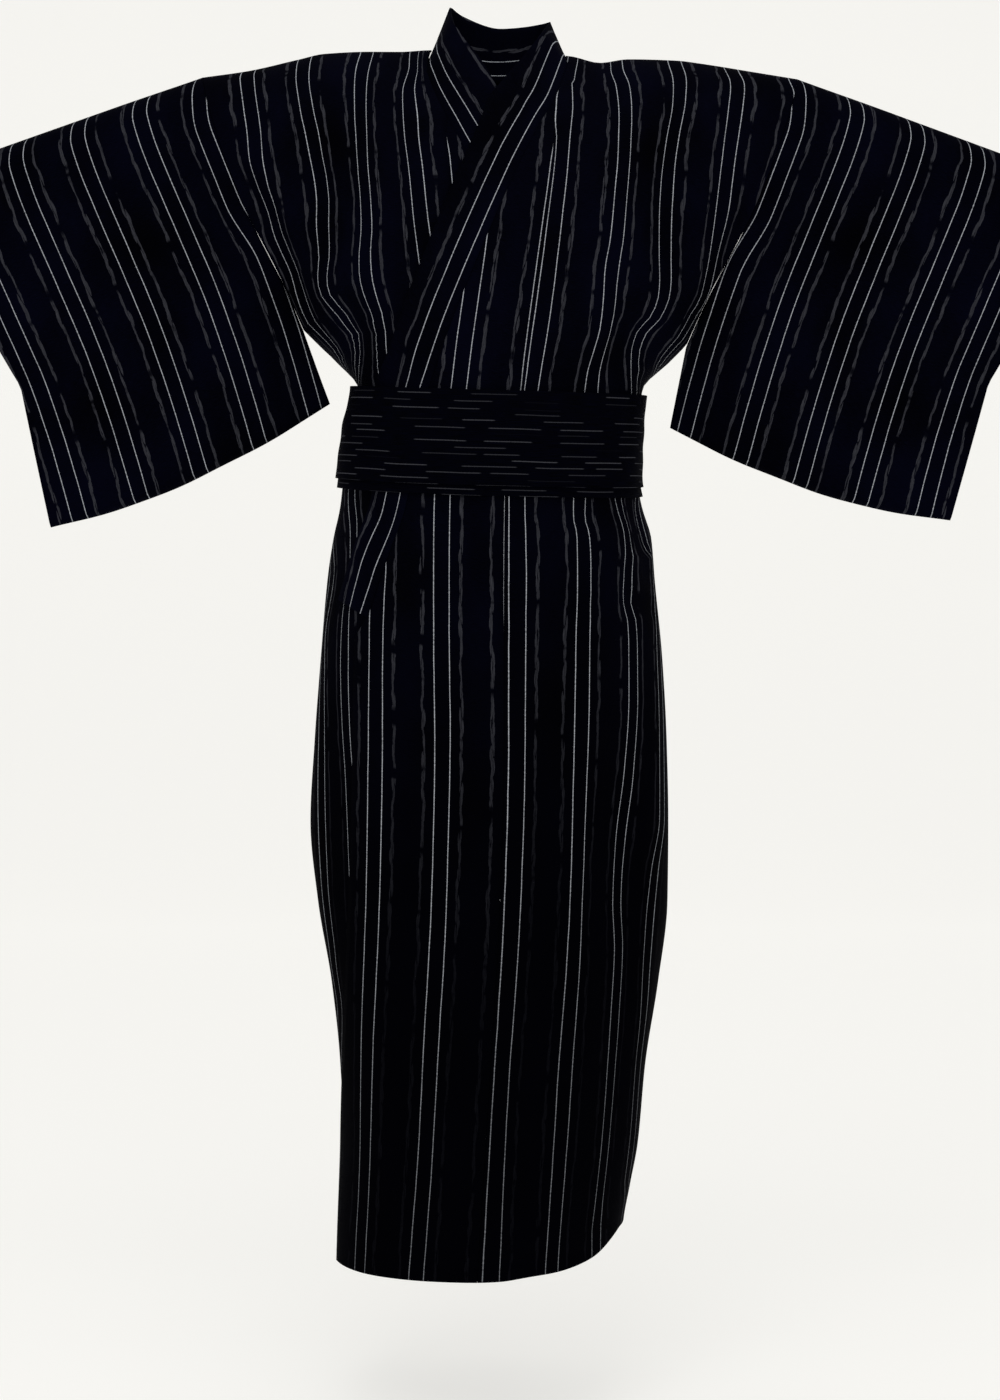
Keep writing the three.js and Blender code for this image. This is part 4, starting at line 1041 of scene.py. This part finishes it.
def shaded(material, colour, rough, height, strength, distance):
    """Feeds a finish to the material's shader."""
    tree = material.node_tree
    surface = tree.nodes["Principled BSDF"]
    surface.inputs["Specular IOR Level"].default_value = CLOTH_GLOSS
    tree.links.new(colour.socket, surface.inputs["Base Color"])
    tree.links.new(rough.socket, surface.inputs["Roughness"])
    bump = wired(tree, "ShaderNodeBump", {},
                 {"Height": height, "Strength": strength, "Distance": distance})
    tree.links.new(bump.socket, surface.inputs["Normal"])


# The grey strokes in millimetres: length, how far they stray, half width and soft edge.
STROKE = {"long": 21.0, "stray": 3.4, "narrow": 0.45, "more": 1.25, "soft": (-0.35, 0.45)}
# Three runs of strokes lie over each other; each has its shift along and its seed.
STROKE_RUNS = ((0.0, 3.1), (0.37, 7.7), (0.71, 12.9))
# The grain of each finish in millimetres, across and along the cloth.
# A white line: how far it slips and breathes, its half width and its soft edge.
WHITE = {"slip": 1.6, "breath": 0.45, "thin": 0.22, "more": 0.4, "soft": 0.25}
# A grey line: how far it wanders, and where its fray and its gaps start and end.
GREY = {"wander": 2.4, "fray": 1.5, "edge": (0.35, 0.85), "gap": (0.3, 0.44)}
# The steps along a line, in millimetres, at which these change.
ALONG = {"slip": 46.0, "thread": 2.6, "worn": 31.0, "wander": 40.0, "gap": 34.0}
# Numbers that give each line its own noise.
LANE = {"cell": 7.3, "side": 2.9, "thread": 13.0, "worn": 5.0, "gap": 3.1, "stroke": 0.37}
COTTON_GRAIN = {"fray": (0.8, 3.2), "fibre": (0.8, 14.0), "cloud": (90.0, 120.0),
                "weave": (0.55, 0.9), "slub": (9.0, 0.8)}
# A row of the sash: how it drifts and slips, its thread's half width and its soft edge.
ROW = {"drift_step": 160.0, "drift": 3.0, "slip": 2.2, "thread_step": 2.4, "thread_seed": 9.0,
       "thin": 0.28, "more": 0.35, "soft": (-0.22, 0.3)}
# A dash in its row, in shares of the step from dash to dash.
DASH = {"own": 0.9, "start": 0.22, "long": 0.42, "more": 0.3, "soft": 0.05, "begins": 0.04,
        "luck": (31.0, 7.0), "dim": (17.0, 3.0)}
SASH_GRAIN = {"rib": (0.8, 22.0), "weave": (0.7, 0.7)}
# The heights between which the white lines, the grey ones and the ground gain strength: below them
# painted shade darkens all three towards the hem.
WHITE_HEM_SHADE = (-1330.0, -820.0)
GREY_HEM_SHADE = (-1080.0, -560.0)
GROUND_HEM_SHADE = (-1100.0, -300.0)
WEAVE_RELIEF = 0.0006
THREAD = {"twist": 1800.0, "relief": 0.0002}
CLOTH_GLOSS = 0.012
FLOOR_GLOSS = 0.02


def grain(across, along, step, detail):
    """Noise with its own step across the cloth and along it."""
    return (across / step[0]).flat_noise(along / step[1], detail)


def stroke(along, place, lane, shift, seed):
    """One run of lens-shaped brush strokes, each with its own place beside the line."""
    run = along / STROKE["long"] + lane * LANE["stroke"] + shift
    cell = run.floor()
    inside = (run - cell) * 2.0 - 1.0
    beside = ((cell + lane * 5.0 + seed).scatter() - 0.5) * STROKE["stray"]
    wide = STROKE["narrow"] + STROKE["more"] * (cell * 3.0 + lane + seed).scatter()
    lens = (1.0 - inside * inside) * wide
    return 1.0 - (abs(place - beside) - lens).between(*STROKE["soft"])


def cotton_material(settings):
    """Near-black cotton with pairs of white lines and ragged grey ones."""
    material, tree = new_finish("kimono_cotton")
    across, along = cloth_place(tree)
    cell = (across / STRIPE_STEP + 0.5).floor()
    place = across - cell * STRIPE_STEP
    side = place.sign()
    lane = cell * LANE["cell"] + side * LANE["side"]
    # The white lines, thinner and duller where they are worn, and darkened towards the hem by
    # painted shade.
    slip = ((along / ALONG["slip"] + lane).noise() - 0.5) * WHITE["slip"]
    off = abs(place) - settings.pair_half + slip * WHITE["breath"]
    thread = (along / ALONG["thread"] + lane * LANE["thread"]).noise(3.0)
    reach = WHITE["thin"] + thread * WHITE["more"]
    white = 1.0 - (abs(off) - reach).between(-WHITE["soft"], WHITE["soft"])
    worn = (along / ALONG["worn"] + lane * LANE["worn"]).noise()
    white = white * (0.5 + 0.6 * (thread * 0.6 + worn * 0.5).between(0.2, 0.75))
    # Painted shade: the white lines darken towards the hem.
    white = white * (0.42 + 0.58 * along.between(*WHITE_HEM_SHADE))
    # The grey lines, three runs of strokes with gaps.
    strays = ((along / ALONG["wander"] + lane).noise(3.0) - 0.5) * GREY["wander"]
    wander = abs(place) - settings.grey_place + strays
    fray = grain(across, along, COTTON_GRAIN["fray"], 3.0) - 0.5
    first, second, third = [stroke(along, wander, lane, *run) for run in STROKE_RUNS]
    grey = first.maths("MAXIMUM", second).maths("MAXIMUM", third)
    grey = (grey + fray * GREY["fray"]).between(*GREY["edge"])
    dash = (along / ALONG["gap"] + lane * LANE["gap"]).noise(3.0).between(*GREY["gap"])
    # Painted shade: the grey lines fade towards the hem.
    dash = dash * (0.08 + 0.92 * along.between(*GREY_HEM_SHADE))
    fibre = grain(across, along, COTTON_GRAIN["fibre"], 2.0)
    grey = grey * dash * (1.5 * fibre - 0.05)
    # The ground between the lines, its tone varying at random, and darkened towards the hem by
    # painted shade.
    cloud = grain(across, along, COTTON_GRAIN["cloud"], 2.0)
    weave = grain(across, along, COTTON_GRAIN["weave"], 2.0)
    slub = grain(across, along, COTTON_GRAIN["slub"], 1.0)
    tone = (cloud * 0.5 + weave * 0.3 + slub * 0.3).between(0.3, 0.85)
    # Painted shade: the ground darkens towards the hem.
    depth = 0.12 + 0.88 * along.between(*GROUND_HEM_SHADE)
    ground = (tone * depth).tint(settings.ground_dark, settings.ground_light)
    colour = grey.tint(ground, settings.grey_line)
    colour = white.tint(colour, settings.white_line)
    rough = 0.82 + weave * 0.14
    height = weave * 0.6 + slub * 0.5 + white * 0.35
    shaded(material, colour, rough, height, 0.35, WEAVE_RELIEF)
    return material


def sash_material(settings):
    """Near-black sash cloth with rows of thin grey dashes along it."""
    material, tree = new_finish("kimono_sash")
    along, across = cloth_place(tree)
    pitch = settings.row_pitch
    drift = ((along / ROW["drift_step"]).noise() - 0.5) * ROW["drift"]
    lane = ((across + drift) / pitch).floor()
    place = across + drift - (lane + 0.5) * pitch
    chance = lane.scatter()
    slip = (chance - 0.5) * ROW["slip"]
    thread = (along / ROW["thread_step"] + lane * ROW["thread_seed"]).noise(2.0)
    reach = thread * ROW["more"]
    line = 1.0 - (abs(place - slip) - ROW["thin"] - reach).between(*ROW["soft"])
    # Every other row starts half a step on, and each row a little off that.
    odd = lane * 0.5 - (lane * 0.5).floor()
    spot = along / settings.dash_step + chance * DASH["own"] + odd
    cell = spot.floor()
    inside = spot - cell
    luck = (cell * DASH["luck"][0] + lane * DASH["luck"][1]).scatter()
    first = inside - luck * DASH["start"]
    over = first.between(DASH["long"] + luck * DASH["more"],
                         DASH["long"] + DASH["soft"] + luck * DASH["more"])
    dash = first.between(0.0, DASH["begins"]) * (1.0 - over)
    dim = (cell * DASH["dim"][0] + lane * DASH["dim"][1]).scatter()
    bright = (0.3 + 0.7 * dim) * dim.between(0.1, 0.4)
    rib = grain(across, along, SASH_GRAIN["rib"], 1.0)
    weave = grain(across, along, SASH_GRAIN["weave"], 2.0)
    tone = (rib * 0.6 + weave * 0.4).between(0.25, 0.8)
    ground = tone.tint(settings.ground_dark, settings.ground_light)
    colour = (line * dash * bright).tint(ground, settings.dash_line)
    rough = 0.78 + weave * 0.16
    height = rib * 0.7 + weave * 0.5 + line * dash * 0.3
    shaded(material, colour, rough, height, 0.3, WEAVE_RELIEF)
    return material


def thread_material(settings):
    """Dark sewing thread."""
    material, tree = new_finish("kimono_thread")
    twist = object_noise(tree, THREAD["twist"], 1.0)
    colour = twist.tint(settings.ground_dark, settings.ground_light)
    shaded(material, colour, 0.6 + twist * 0.2, twist, 0.2, THREAD["relief"])
    return material


def plain_material(name, colour, rough_low, rough_high, scale, glow):
    """A plain pale surface, lit from within, for the floor and backdrop."""
    material, tree = new_finish(name)
    speck = object_noise(tree, scale, 2.0)
    light = tuple(min(c * 1.01, 1.0) for c in colour[:3])
    tint = speck.tint(colour, light)
    surface = tree.nodes["Principled BSDF"]
    surface.inputs["Specular IOR Level"].default_value = FLOOR_GLOSS
    tree.links.new(tint.socket, surface.inputs["Base Color"])
    surface.inputs["Emission Color"].default_value = GLOW_COLOUR
    surface.inputs["Emission Strength"].default_value = glow
    tree.links.new((rough_low + speck * (rough_high - rough_low)).socket,
                   surface.inputs["Roughness"])
    return material


def finish_named(name, make, settings):
    """A material by name, made the first time it is asked for."""
    found = bpy.data.materials.get(name)
    return found if found else make(settings)


def measure(name, description, default, **limits):
    """A size in metres that a user may change."""
    return bpy.props.FloatProperty(name=name, description=description, default=default,
                                   unit="LENGTH", **limits)


def amount(name, description, default, **limits):
    """A plain number that a user may change."""
    return bpy.props.FloatProperty(name=name, description=description, default=default,
                                   **limits)


def dye(name, description, default):
    """A colour that a user may change."""
    return bpy.props.FloatVectorProperty(name=name, description=description, default=default,
                                         subtype="COLOR", size=3, min=0.0, max=1.0)


class ClothSettings(bpy.types.PropertyGroup):
    """The cotton: its thickness, colours and stripes."""

    thick: measure("Thickness", "Thickness of the cotton as shown", 0.0012,
                   min=0.0002, max=0.003)
    collar_thick: measure("Collar thickness", "Thickness of the folded collar band", 0.003,
                          min=0.001, max=0.006)
    stitch_pitch: measure("Stitch pitch", "Distance from stitch to stitch", 0.012,
                          min=0.002, max=0.05)
    stitch_length: measure("Stitch length", "Length of a stitch", 0.0022, min=0.0005, max=0.01)
    stitch_thick: measure("Thread", "Thickness of the sewing thread", 0.00035,
                          min=0.0001, max=0.001)
    pair_half: amount("Half pair", "Half the width of a pair of white lines, in millimetres",
                      8.8, min=2.0, max=20.0)
    grey_place: amount("Grey place", "Grey lines from the middle of a pair, in millimetres",
                       22.0, min=10.0, max=36.0)
    ground_dark: dye("Dark ground", "Darkest tone of the cotton", (0.0002, 0.0002, 0.0008))
    ground_light: dye("Light ground", "Lightest tone of the cotton",
                      (0.0012, 0.0014, 0.0066))
    grey_line: dye("Grey line", "Colour of the broken lines", (0.04, 0.041, 0.05))
    white_line: dye("White line", "Colour of the paired lines", (0.43, 0.45, 0.49))


class SashSettings(bpy.types.PropertyGroup):
    """The sash: its thickness, colours and rows of dashes."""

    thick: measure("Thickness", "Thickness of the sash as shown", 0.0018,
                   min=0.0004, max=0.004)
    row_pitch: amount("Row pitch", "Distance between rows of dashes, in millimetres", 7.3,
                      min=3.0, max=20.0)
    dash_step: amount("Dash step", "Distance from dash to dash along a row, in millimetres",
                      84.0, min=20.0, max=300.0)
    ground_dark: dye("Dark ground", "Darkest tone of the sash", (0.0003, 0.0003, 0.0007))
    ground_light: dye("Light ground", "Lightest tone of the sash", (0.0007, 0.0008, 0.0042))
    dash_line: dye("Dash", "Colour of the dashes", (0.05, 0.051, 0.06))


class StageSettings(bpy.types.PropertyGroup):
    """The floor, light and camera."""

    floor_height: measure("Floor", "Height of the floor", -1.58)
    floor_colour: dye("Floor colour", "Colour of the floor and backdrop",
                      (0.5, 0.495, 0.48))
    floor_glow: amount("Floor glow", "Light that the lit backdrop gives of its own", 0.575,
                       min=0.0)
    wall_back: measure("Backdrop", "How far behind the origin the backdrop stands", 7.5,
                       min=0.4)
    bend: measure("Backdrop bend", "Radius where the floor turns up into the backdrop", 2.6,
                  min=0.05)
    sky: amount("Sky", "Strength of the light from all round", 0.55, min=0.0)
    key: amount("Key light", "Power of the large lamp in watts", 20.0, min=0.0)
    lens: amount("Lens", "Focal length in millimetres", 52.3, min=10.0)


def shown(piece, slot, node):
    """Gives a finished piece its material and its place in the frame, and hides the frame's part
    that it stands for.
    """
    scene = bpy.context.scene
    if slot == "cotton":
        finish = finish_named("kimono_cotton", cotton_material, scene.kimono_cloth)
    else:
        finish = finish_named("kimono_sash", sash_material, scene.kimono_sash)
    piece.data.materials.append(finish)
    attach(piece, "root")
    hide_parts(node)


# The shares down to the armpit between which a panel's end turns level with the sleeve.
SHOULDER_LEVEL = (0.8, 0.2)


def panel_normals(value, behind):
    """A rule for a body panel's normals, given its rows and which of them lie behind."""
    low = value >= 1
    high = ~low
    from_top, over = SHOULDER_LEVEL
    shoulder = ease((value[high] ** (1 / SHOULDER_CROWD) - from_top) / over)

    def upright(normal):
        normal[low, -1, 1] = 0
        normal[high, -1, 0] *= shoulder
        normal[behind, 0, 0] = 0
        return normal

    return upright


class KIMONO_OT_bodies(bpy.types.Operator):
    """Makes the two body panels, each one length over the shoulder"""

    bl_idname = "kimono.bodies"
    bl_label = "Body panels"

    def execute(self, context):
        thick = context.scene.kimono_cloth.thick / MM
        for side, name, node in (("right", "cloth_body_left", "body_left"),
                                 ("left", "cloth_body_right", "body_right")):
            grid, across, down = body_cloth(side)
            rows = np.arange(len(grid)) - (len(ROWS) - 1)
            rule = panel_normals(ROWS[np.abs(rows)], rows > 0)
            away = grid * np.array([1.0, 3.0, 0.0])
            piece = shell(name, grid, across, down, thick, away, upright=rule)
            shown(piece, "cotton", node)
        return {"FINISHED"}


class KIMONO_OT_overlaps(bpy.types.Operator):
    """Makes the two overlap panels of the fronts"""

    bl_idname = "kimono.overlaps"
    bl_label = "Overlaps"

    def execute(self, context):
        thick = context.scene.kimono_cloth.thick / MM
        for name, node, plan in (("cloth_overlap_left", "overlap_left", OVERLAP_PLANS[0]),
                                 ("cloth_overlap_right", "overlap_right", OVERLAP_PLANS[1])):
            grid, across, down = overlap_cloth(*plan)
            piece = shell(name, grid, across, down, thick, np.array([0.0, -1.0, 0.0]))
            shown(piece, "cotton", node)
        return {"FINISHED"}


class KIMONO_OT_sleeves(bpy.types.Operator):
    """Makes the two sleeves, open at the wrist"""

    bl_idname = "kimono.sleeves"
    bl_label = "Sleeves"

    def execute(self, context):
        thick = context.scene.kimono_cloth.thick / MM
        for side, name, node in (("right", "cloth_sleeve_left", "sleeve_left"),
                                 ("left", "cloth_sleeve_right", "sleeve_right")):
            grid, across, down = sleeve_cloth(side)
            half = grid.shape[1] // 2
            away = np.zeros(grid.shape)
            away[:, 1:half, 1] = -1
            away[:, half + 1:, 1] = 1
            piece = shell(name, grid, across, down, thick, away, ring=True)
            shown(piece, "cotton", node)
        return {"FINISHED"}


class KIMONO_OT_collar(bpy.types.Operator):
    """Makes the collar band round the neck and down both fronts"""

    bl_idname = "kimono.collar"
    bl_label = "Collar"

    def execute(self, context):
        thick = context.scene.kimono_cloth.collar_thick / MM
        grid, across, down = collar_cloth()
        away = grid * np.array([0.2, 1.0, 0.0])
        piece = shell("cloth_collar", grid, across, down, thick, away)
        shown(piece, "cotton", "collar")
        return {"FINISHED"}


class KIMONO_OT_sash_band(bpy.types.Operator):
    """Winds the sash twice round the waist"""

    bl_idname = "kimono.sash_band"
    bl_label = "Sash band"

    def execute(self, context):
        thick = context.scene.kimono_sash.thick / MM
        grid, along, across = band_cloth()
        away = grid * np.array([1.0, 1.0, 0.0])
        piece = shell("cloth_sash_band", grid, along, across, thick, away)
        shown(piece, "sash", "sash_band")
        return {"FINISHED"}


class KIMONO_OT_sash_knot(bpy.types.Operator):
    """Makes the knot behind and the two ends of the sash"""

    bl_idname = "kimono.sash_knot"
    bl_label = "Sash knot"

    def execute(self, context):
        thick = context.scene.kimono_sash.thick / MM
        grid, around, along = knot_cloth()
        middle = grid.mean(axis=1, keepdims=True)
        piece = shell("cloth_sash_knot", grid, along, around, thick, grid - middle, ring=True)
        shown(piece, "sash", "sash_knot")
        for name, node, start, stop, bend, lift in SASH_ENDS:
            grid, along, across = end_cloth(start, stop, bend, lift)
            piece = shell(name, grid, along, across, SASH_END["thick"],
                          np.array([0.0, 1.0, 0.0]))
            length = abs(stop - start) * MM * SASH_END["bend_share"]
            shown(piece, "sash", node)
        return {"FINISHED"}


def lifted(points, oval):
    """Points moved a little way off the cloth, which bends round this oval."""
    away = points * np.array([1 / oval[0] ** 2, 1 / oval[1] ** 2, 0])
    away = away / np.maximum(np.linalg.norm(away, axis=1, keepdims=True), TINY)
    return points + away * STITCH_LIFT


def sewn_lines():
    """Where small stitches show: the hems, the free edges of the fronts and the cuffs."""
    lines = []
    for side in ("left", "right"):
        body = body_grid(side)
        sleeve = sleeve_cloth(side)[0]
        cuff = int(sleeve.shape[1] // 2 * CUFF_SHARE)
        lines += [lifted(body[2], BODY_OVAL), lifted(body[-3], BODY_OVAL),
                  lifted(sleeve[-3, 2:cuff], CUFF_OVAL), lifted(sleeve[-3, -cuff:-2], CUFF_OVAL)]
    for plan in OVERLAP_PLANS:
        overlap = overlap_cloth(*plan)[0]
        low = overlap[:, -3][overlap[:, -3, 2] < STITCH_BELOW]
        lines += [lifted(overlap[-3], BODY_OVAL), lifted(low, BODY_OVAL)]
    return lines


def stitch_tree(material):
    """Nodes that sew small stitches along lines at an even pitch."""
    tree = bpy.data.node_groups.new("stitches_along_lines", "GeometryNodeTree")
    face = tree.interface
    face.new_socket("Lines", in_out="INPUT", socket_type="NodeSocketGeometry")
    for name, default in (("Pitch", 0.012), ("Length", 0.0022), ("Thickness", 0.00022)):
        socket = face.new_socket(name, in_out="INPUT", socket_type="NodeSocketFloat")
        socket.default_value = default
    face.new_socket("Sewn", in_out="OUTPUT", socket_type="NodeSocketGeometry")
    start = tree.nodes.new("NodeGroupInput")
    lines, pitch, length, thick = [Wire(tree, start.outputs[k]) for k in range(4)]
    curves = wired(tree, "GeometryNodeMeshToCurve", {}, {0: lines})
    even = wired(tree, "GeometryNodeResampleCurve", {"mode": "LENGTH"},
                 {"Curve": curves, "Length": pitch})
    tangent = wired(tree, "GeometryNodeInputTangent", {}, {})
    aligned = wired(tree, "FunctionNodeAlignEulerToVector", {"axis": "Z"}, {"Vector": tangent})
    bead = wired(tree, "GeometryNodeMeshUVSphere", {}, {"Segments": 6, "Rings": 4, "Radius": 0.5})
    # Inputs 2 and 3 are the least and the most of a random number, outlet 1 is the number.
    jitter = wired(tree, "FunctionNodeRandomValue", {}, {2: 0.8, 3: 1.2, "Seed": 7}, 1)
    size = wired(tree, "ShaderNodeCombineXYZ", {}, {0: thick, 1: thick, 2: length * jitter})
    inputs = {"Points": even, "Instance": bead, "Rotation": aligned, "Scale": size}
    sewn = wired(tree, "GeometryNodeInstanceOnPoints", {}, inputs)
    real = wired(tree, "GeometryNodeRealizeInstances", {}, {0: sewn})
    done = wired(tree, "GeometryNodeSetMaterial", {}, {"Geometry": real, "Material": material})
    wired(tree, "NodeGroupOutput", {}, {0: done}, None)
    return tree


class KIMONO_OT_stitches(bpy.types.Operator):
    """Sews small stitches along the hems, free edges and cuffs"""

    bl_idname = "kimono.stitches"
    bl_label = "Stitches"

    def execute(self, context):
        settings = context.scene.kimono_cloth
        points, edges = [], []
        for line in sewn_lines():
            first = len(points)
            points.extend((line * MM).tolist())
            edges.extend((first + k, first + k + 1) for k in range(len(line) - 1))
        mesh = bpy.data.meshes.new("sewn_lines")
        mesh.from_pydata(points, edges, [])
        guide = placed("sewn_lines", mesh)
        tree = stitch_tree(finish_named("kimono_thread", thread_material, settings))
        modifier = guide.modifiers.new("stitches", "NODES")
        modifier.node_group = tree
        values = {"Pitch": settings.stitch_pitch, "Length": settings.stitch_length,
                  "Thickness": settings.stitch_thick}
        for item in tree.interface.items_tree:
            if item.name in values:
                modifier[item.identifier] = values[item.name]
        context.view_layer.update()
        graph = context.evaluated_depsgraph_get()
        sewn = bpy.data.meshes.new_from_object(guide.evaluated_get(graph))
        bpy.data.objects.remove(guide)
        sewn.name = "sewing_stitches"
        if not sewn.polygons:
            raise RuntimeError("no stitches were made")
        piece = placed("sewing_stitches", sewn)
        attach(piece, "root")
        return {"FINISHED"}


# The backdrop's front edge, half width and height in metres, and the steps of its bend.
BACKDROP = {"front": -7.5, "half": 9.0, "high": 6.0, "steps": 24}
GLOW_COLOUR = (1.0, 0.992, 0.962, 1.0)
SKY_COLOUR = (1.0, 1.0, 0.985, 1.0)
# Each lamp's place, its power as a share of the key light's, and its size in metres.
LAMPS = (("key", (-0.5, -2.0, 2.2), 1.0, 1.8), ("fill", (1.8, -2.8, 0.6), 0.35, 2.2),
         ("above", (0.0, -0.9, 2.6), 0.6, 1.6))
LAMP_AIM = Vector((0.0, 0.0, -0.7))
SENSOR_HEIGHT = 36.0


class KIMONO_OT_stage(bpy.types.Operator):
    """Sets the floor, the backdrop, the light and the camera"""

    bl_idname = "kimono.stage"
    bl_label = "Stage"

    def execute(self, context):
        scene = context.scene
        settings = scene.kimono_stage
        floor, bend, wall = settings.floor_height, settings.bend, settings.wall_back
        profile = [(BACKDROP["front"], floor), (wall - bend, floor)]
        for step in range(1, BACKDROP["steps"] + 1):
            turn = step / BACKDROP["steps"] * QUARTER
            profile.append((wall - bend * (1 - math.sin(turn)),
                            floor + bend * (1 - math.cos(turn))))
        profile.append((wall, floor + BACKDROP["high"]))
        points = [(x, y, z) for y, z in profile for x in (-BACKDROP["half"], BACKDROP["half"])]
        faces = [(2 * k, 2 * k + 1, 2 * k + 3, 2 * k + 2) for k in range(len(profile) - 1)]
        mesh = bpy.data.meshes.new("floor_and_backdrop")
        mesh.from_pydata(points, [], faces)
        mesh.polygons.foreach_set("use_smooth", [True] * len(faces))
        mesh.materials.append(plain_material("floor_pale", settings.floor_colour, 0.8, 0.9, 3.0,
                                             settings.floor_glow))
        ground = placed("floor_and_backdrop", mesh)

        scene.world = bpy.data.worlds.new("studio")
        scene.world.use_nodes = True
        sky = scene.world.node_tree.nodes["Background"]
        sky.inputs["Color"].default_value = SKY_COLOUR
        sky.inputs["Strength"].default_value = settings.sky

        for name, place, share, size in LAMPS:
            light = bpy.data.lights.new(name, "AREA")
            light.energy = settings.key * share
            light.size = size
            lamp = placed(name, light)
            lamp.location = place
            aim = LAMP_AIM - Vector(place)
            lamp.rotation_euler = aim.to_track_quat("-Z", "Y").to_euler()

        data = bpy.data.cameras.new("camera")
        data.sensor_fit = "VERTICAL"
        data.sensor_height = SENSOR_HEIGHT
        data.lens = settings.lens
        data.dof.use_dof = False
        scene.camera = placed("camera", data)
        scene.camera.location = (0.0, -PICTURE["eye_back"] * MM, PICTURE["eye_up"] * MM)
        scene.camera.rotation_euler = (QUARTER, 0.0, 0.0)
        scene.view_settings.view_transform = "Standard"
        scene.view_settings.look = "None"
        return {"FINISHED"}


class KIMONO_PT_panel(bpy.types.Panel):
    """The kimono's pieces and settings"""

    bl_idname = "KIMONO_PT_panel"
    bl_label = "Kimono"
    bl_space_type = "VIEW_3D"
    bl_region_type = "UI"
    bl_category = "Kimono"

    def draw(self, context):
        layout = self.layout
        for operator in OPERATORS:
            layout.operator(operator.bl_idname)
        for group in (context.scene.kimono_cloth, context.scene.kimono_sash,
                      context.scene.kimono_stage):
            box = layout.box()
            for name in group.bl_rna.properties.keys():
                if name not in ("rna_type", "name"):
                    box.prop(group, name)


GROUPS = (
    (ClothSettings, "kimono_cloth"),
    (SashSettings, "kimono_sash"),
    (StageSettings, "kimono_stage"),
)
OPERATORS = (
    KIMONO_OT_stage, KIMONO_OT_bodies, KIMONO_OT_overlaps, KIMONO_OT_sleeves,
    KIMONO_OT_collar, KIMONO_OT_sash_band, KIMONO_OT_sash_knot, KIMONO_OT_stitches,
)


def register():
    for group, name in GROUPS:
        bpy.utils.register_class(group)
        setattr(bpy.types.Scene, name, bpy.props.PointerProperty(type=group))
    for operator in OPERATORS:
        bpy.utils.register_class(operator)
    bpy.utils.register_class(KIMONO_PT_panel)


def unregister():
    bpy.utils.unregister_class(KIMONO_PT_panel)
    for operator in reversed(OPERATORS):
        bpy.utils.unregister_class(operator)
    for group, name in reversed(GROUPS):
        delattr(bpy.types.Scene, name)
        bpy.utils.unregister_class(group)


def main():
    """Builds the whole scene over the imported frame."""
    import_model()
    register()
    bpy.ops.kimono.stage()
    bpy.ops.kimono.bodies()
    bpy.ops.kimono.overlaps()
    bpy.ops.kimono.sleeves()
    bpy.ops.kimono.collar()
    bpy.ops.kimono.sash_band()
    bpy.ops.kimono.sash_knot()
    bpy.ops.kimono.stitches()


if __name__ == "__main__":
    main()
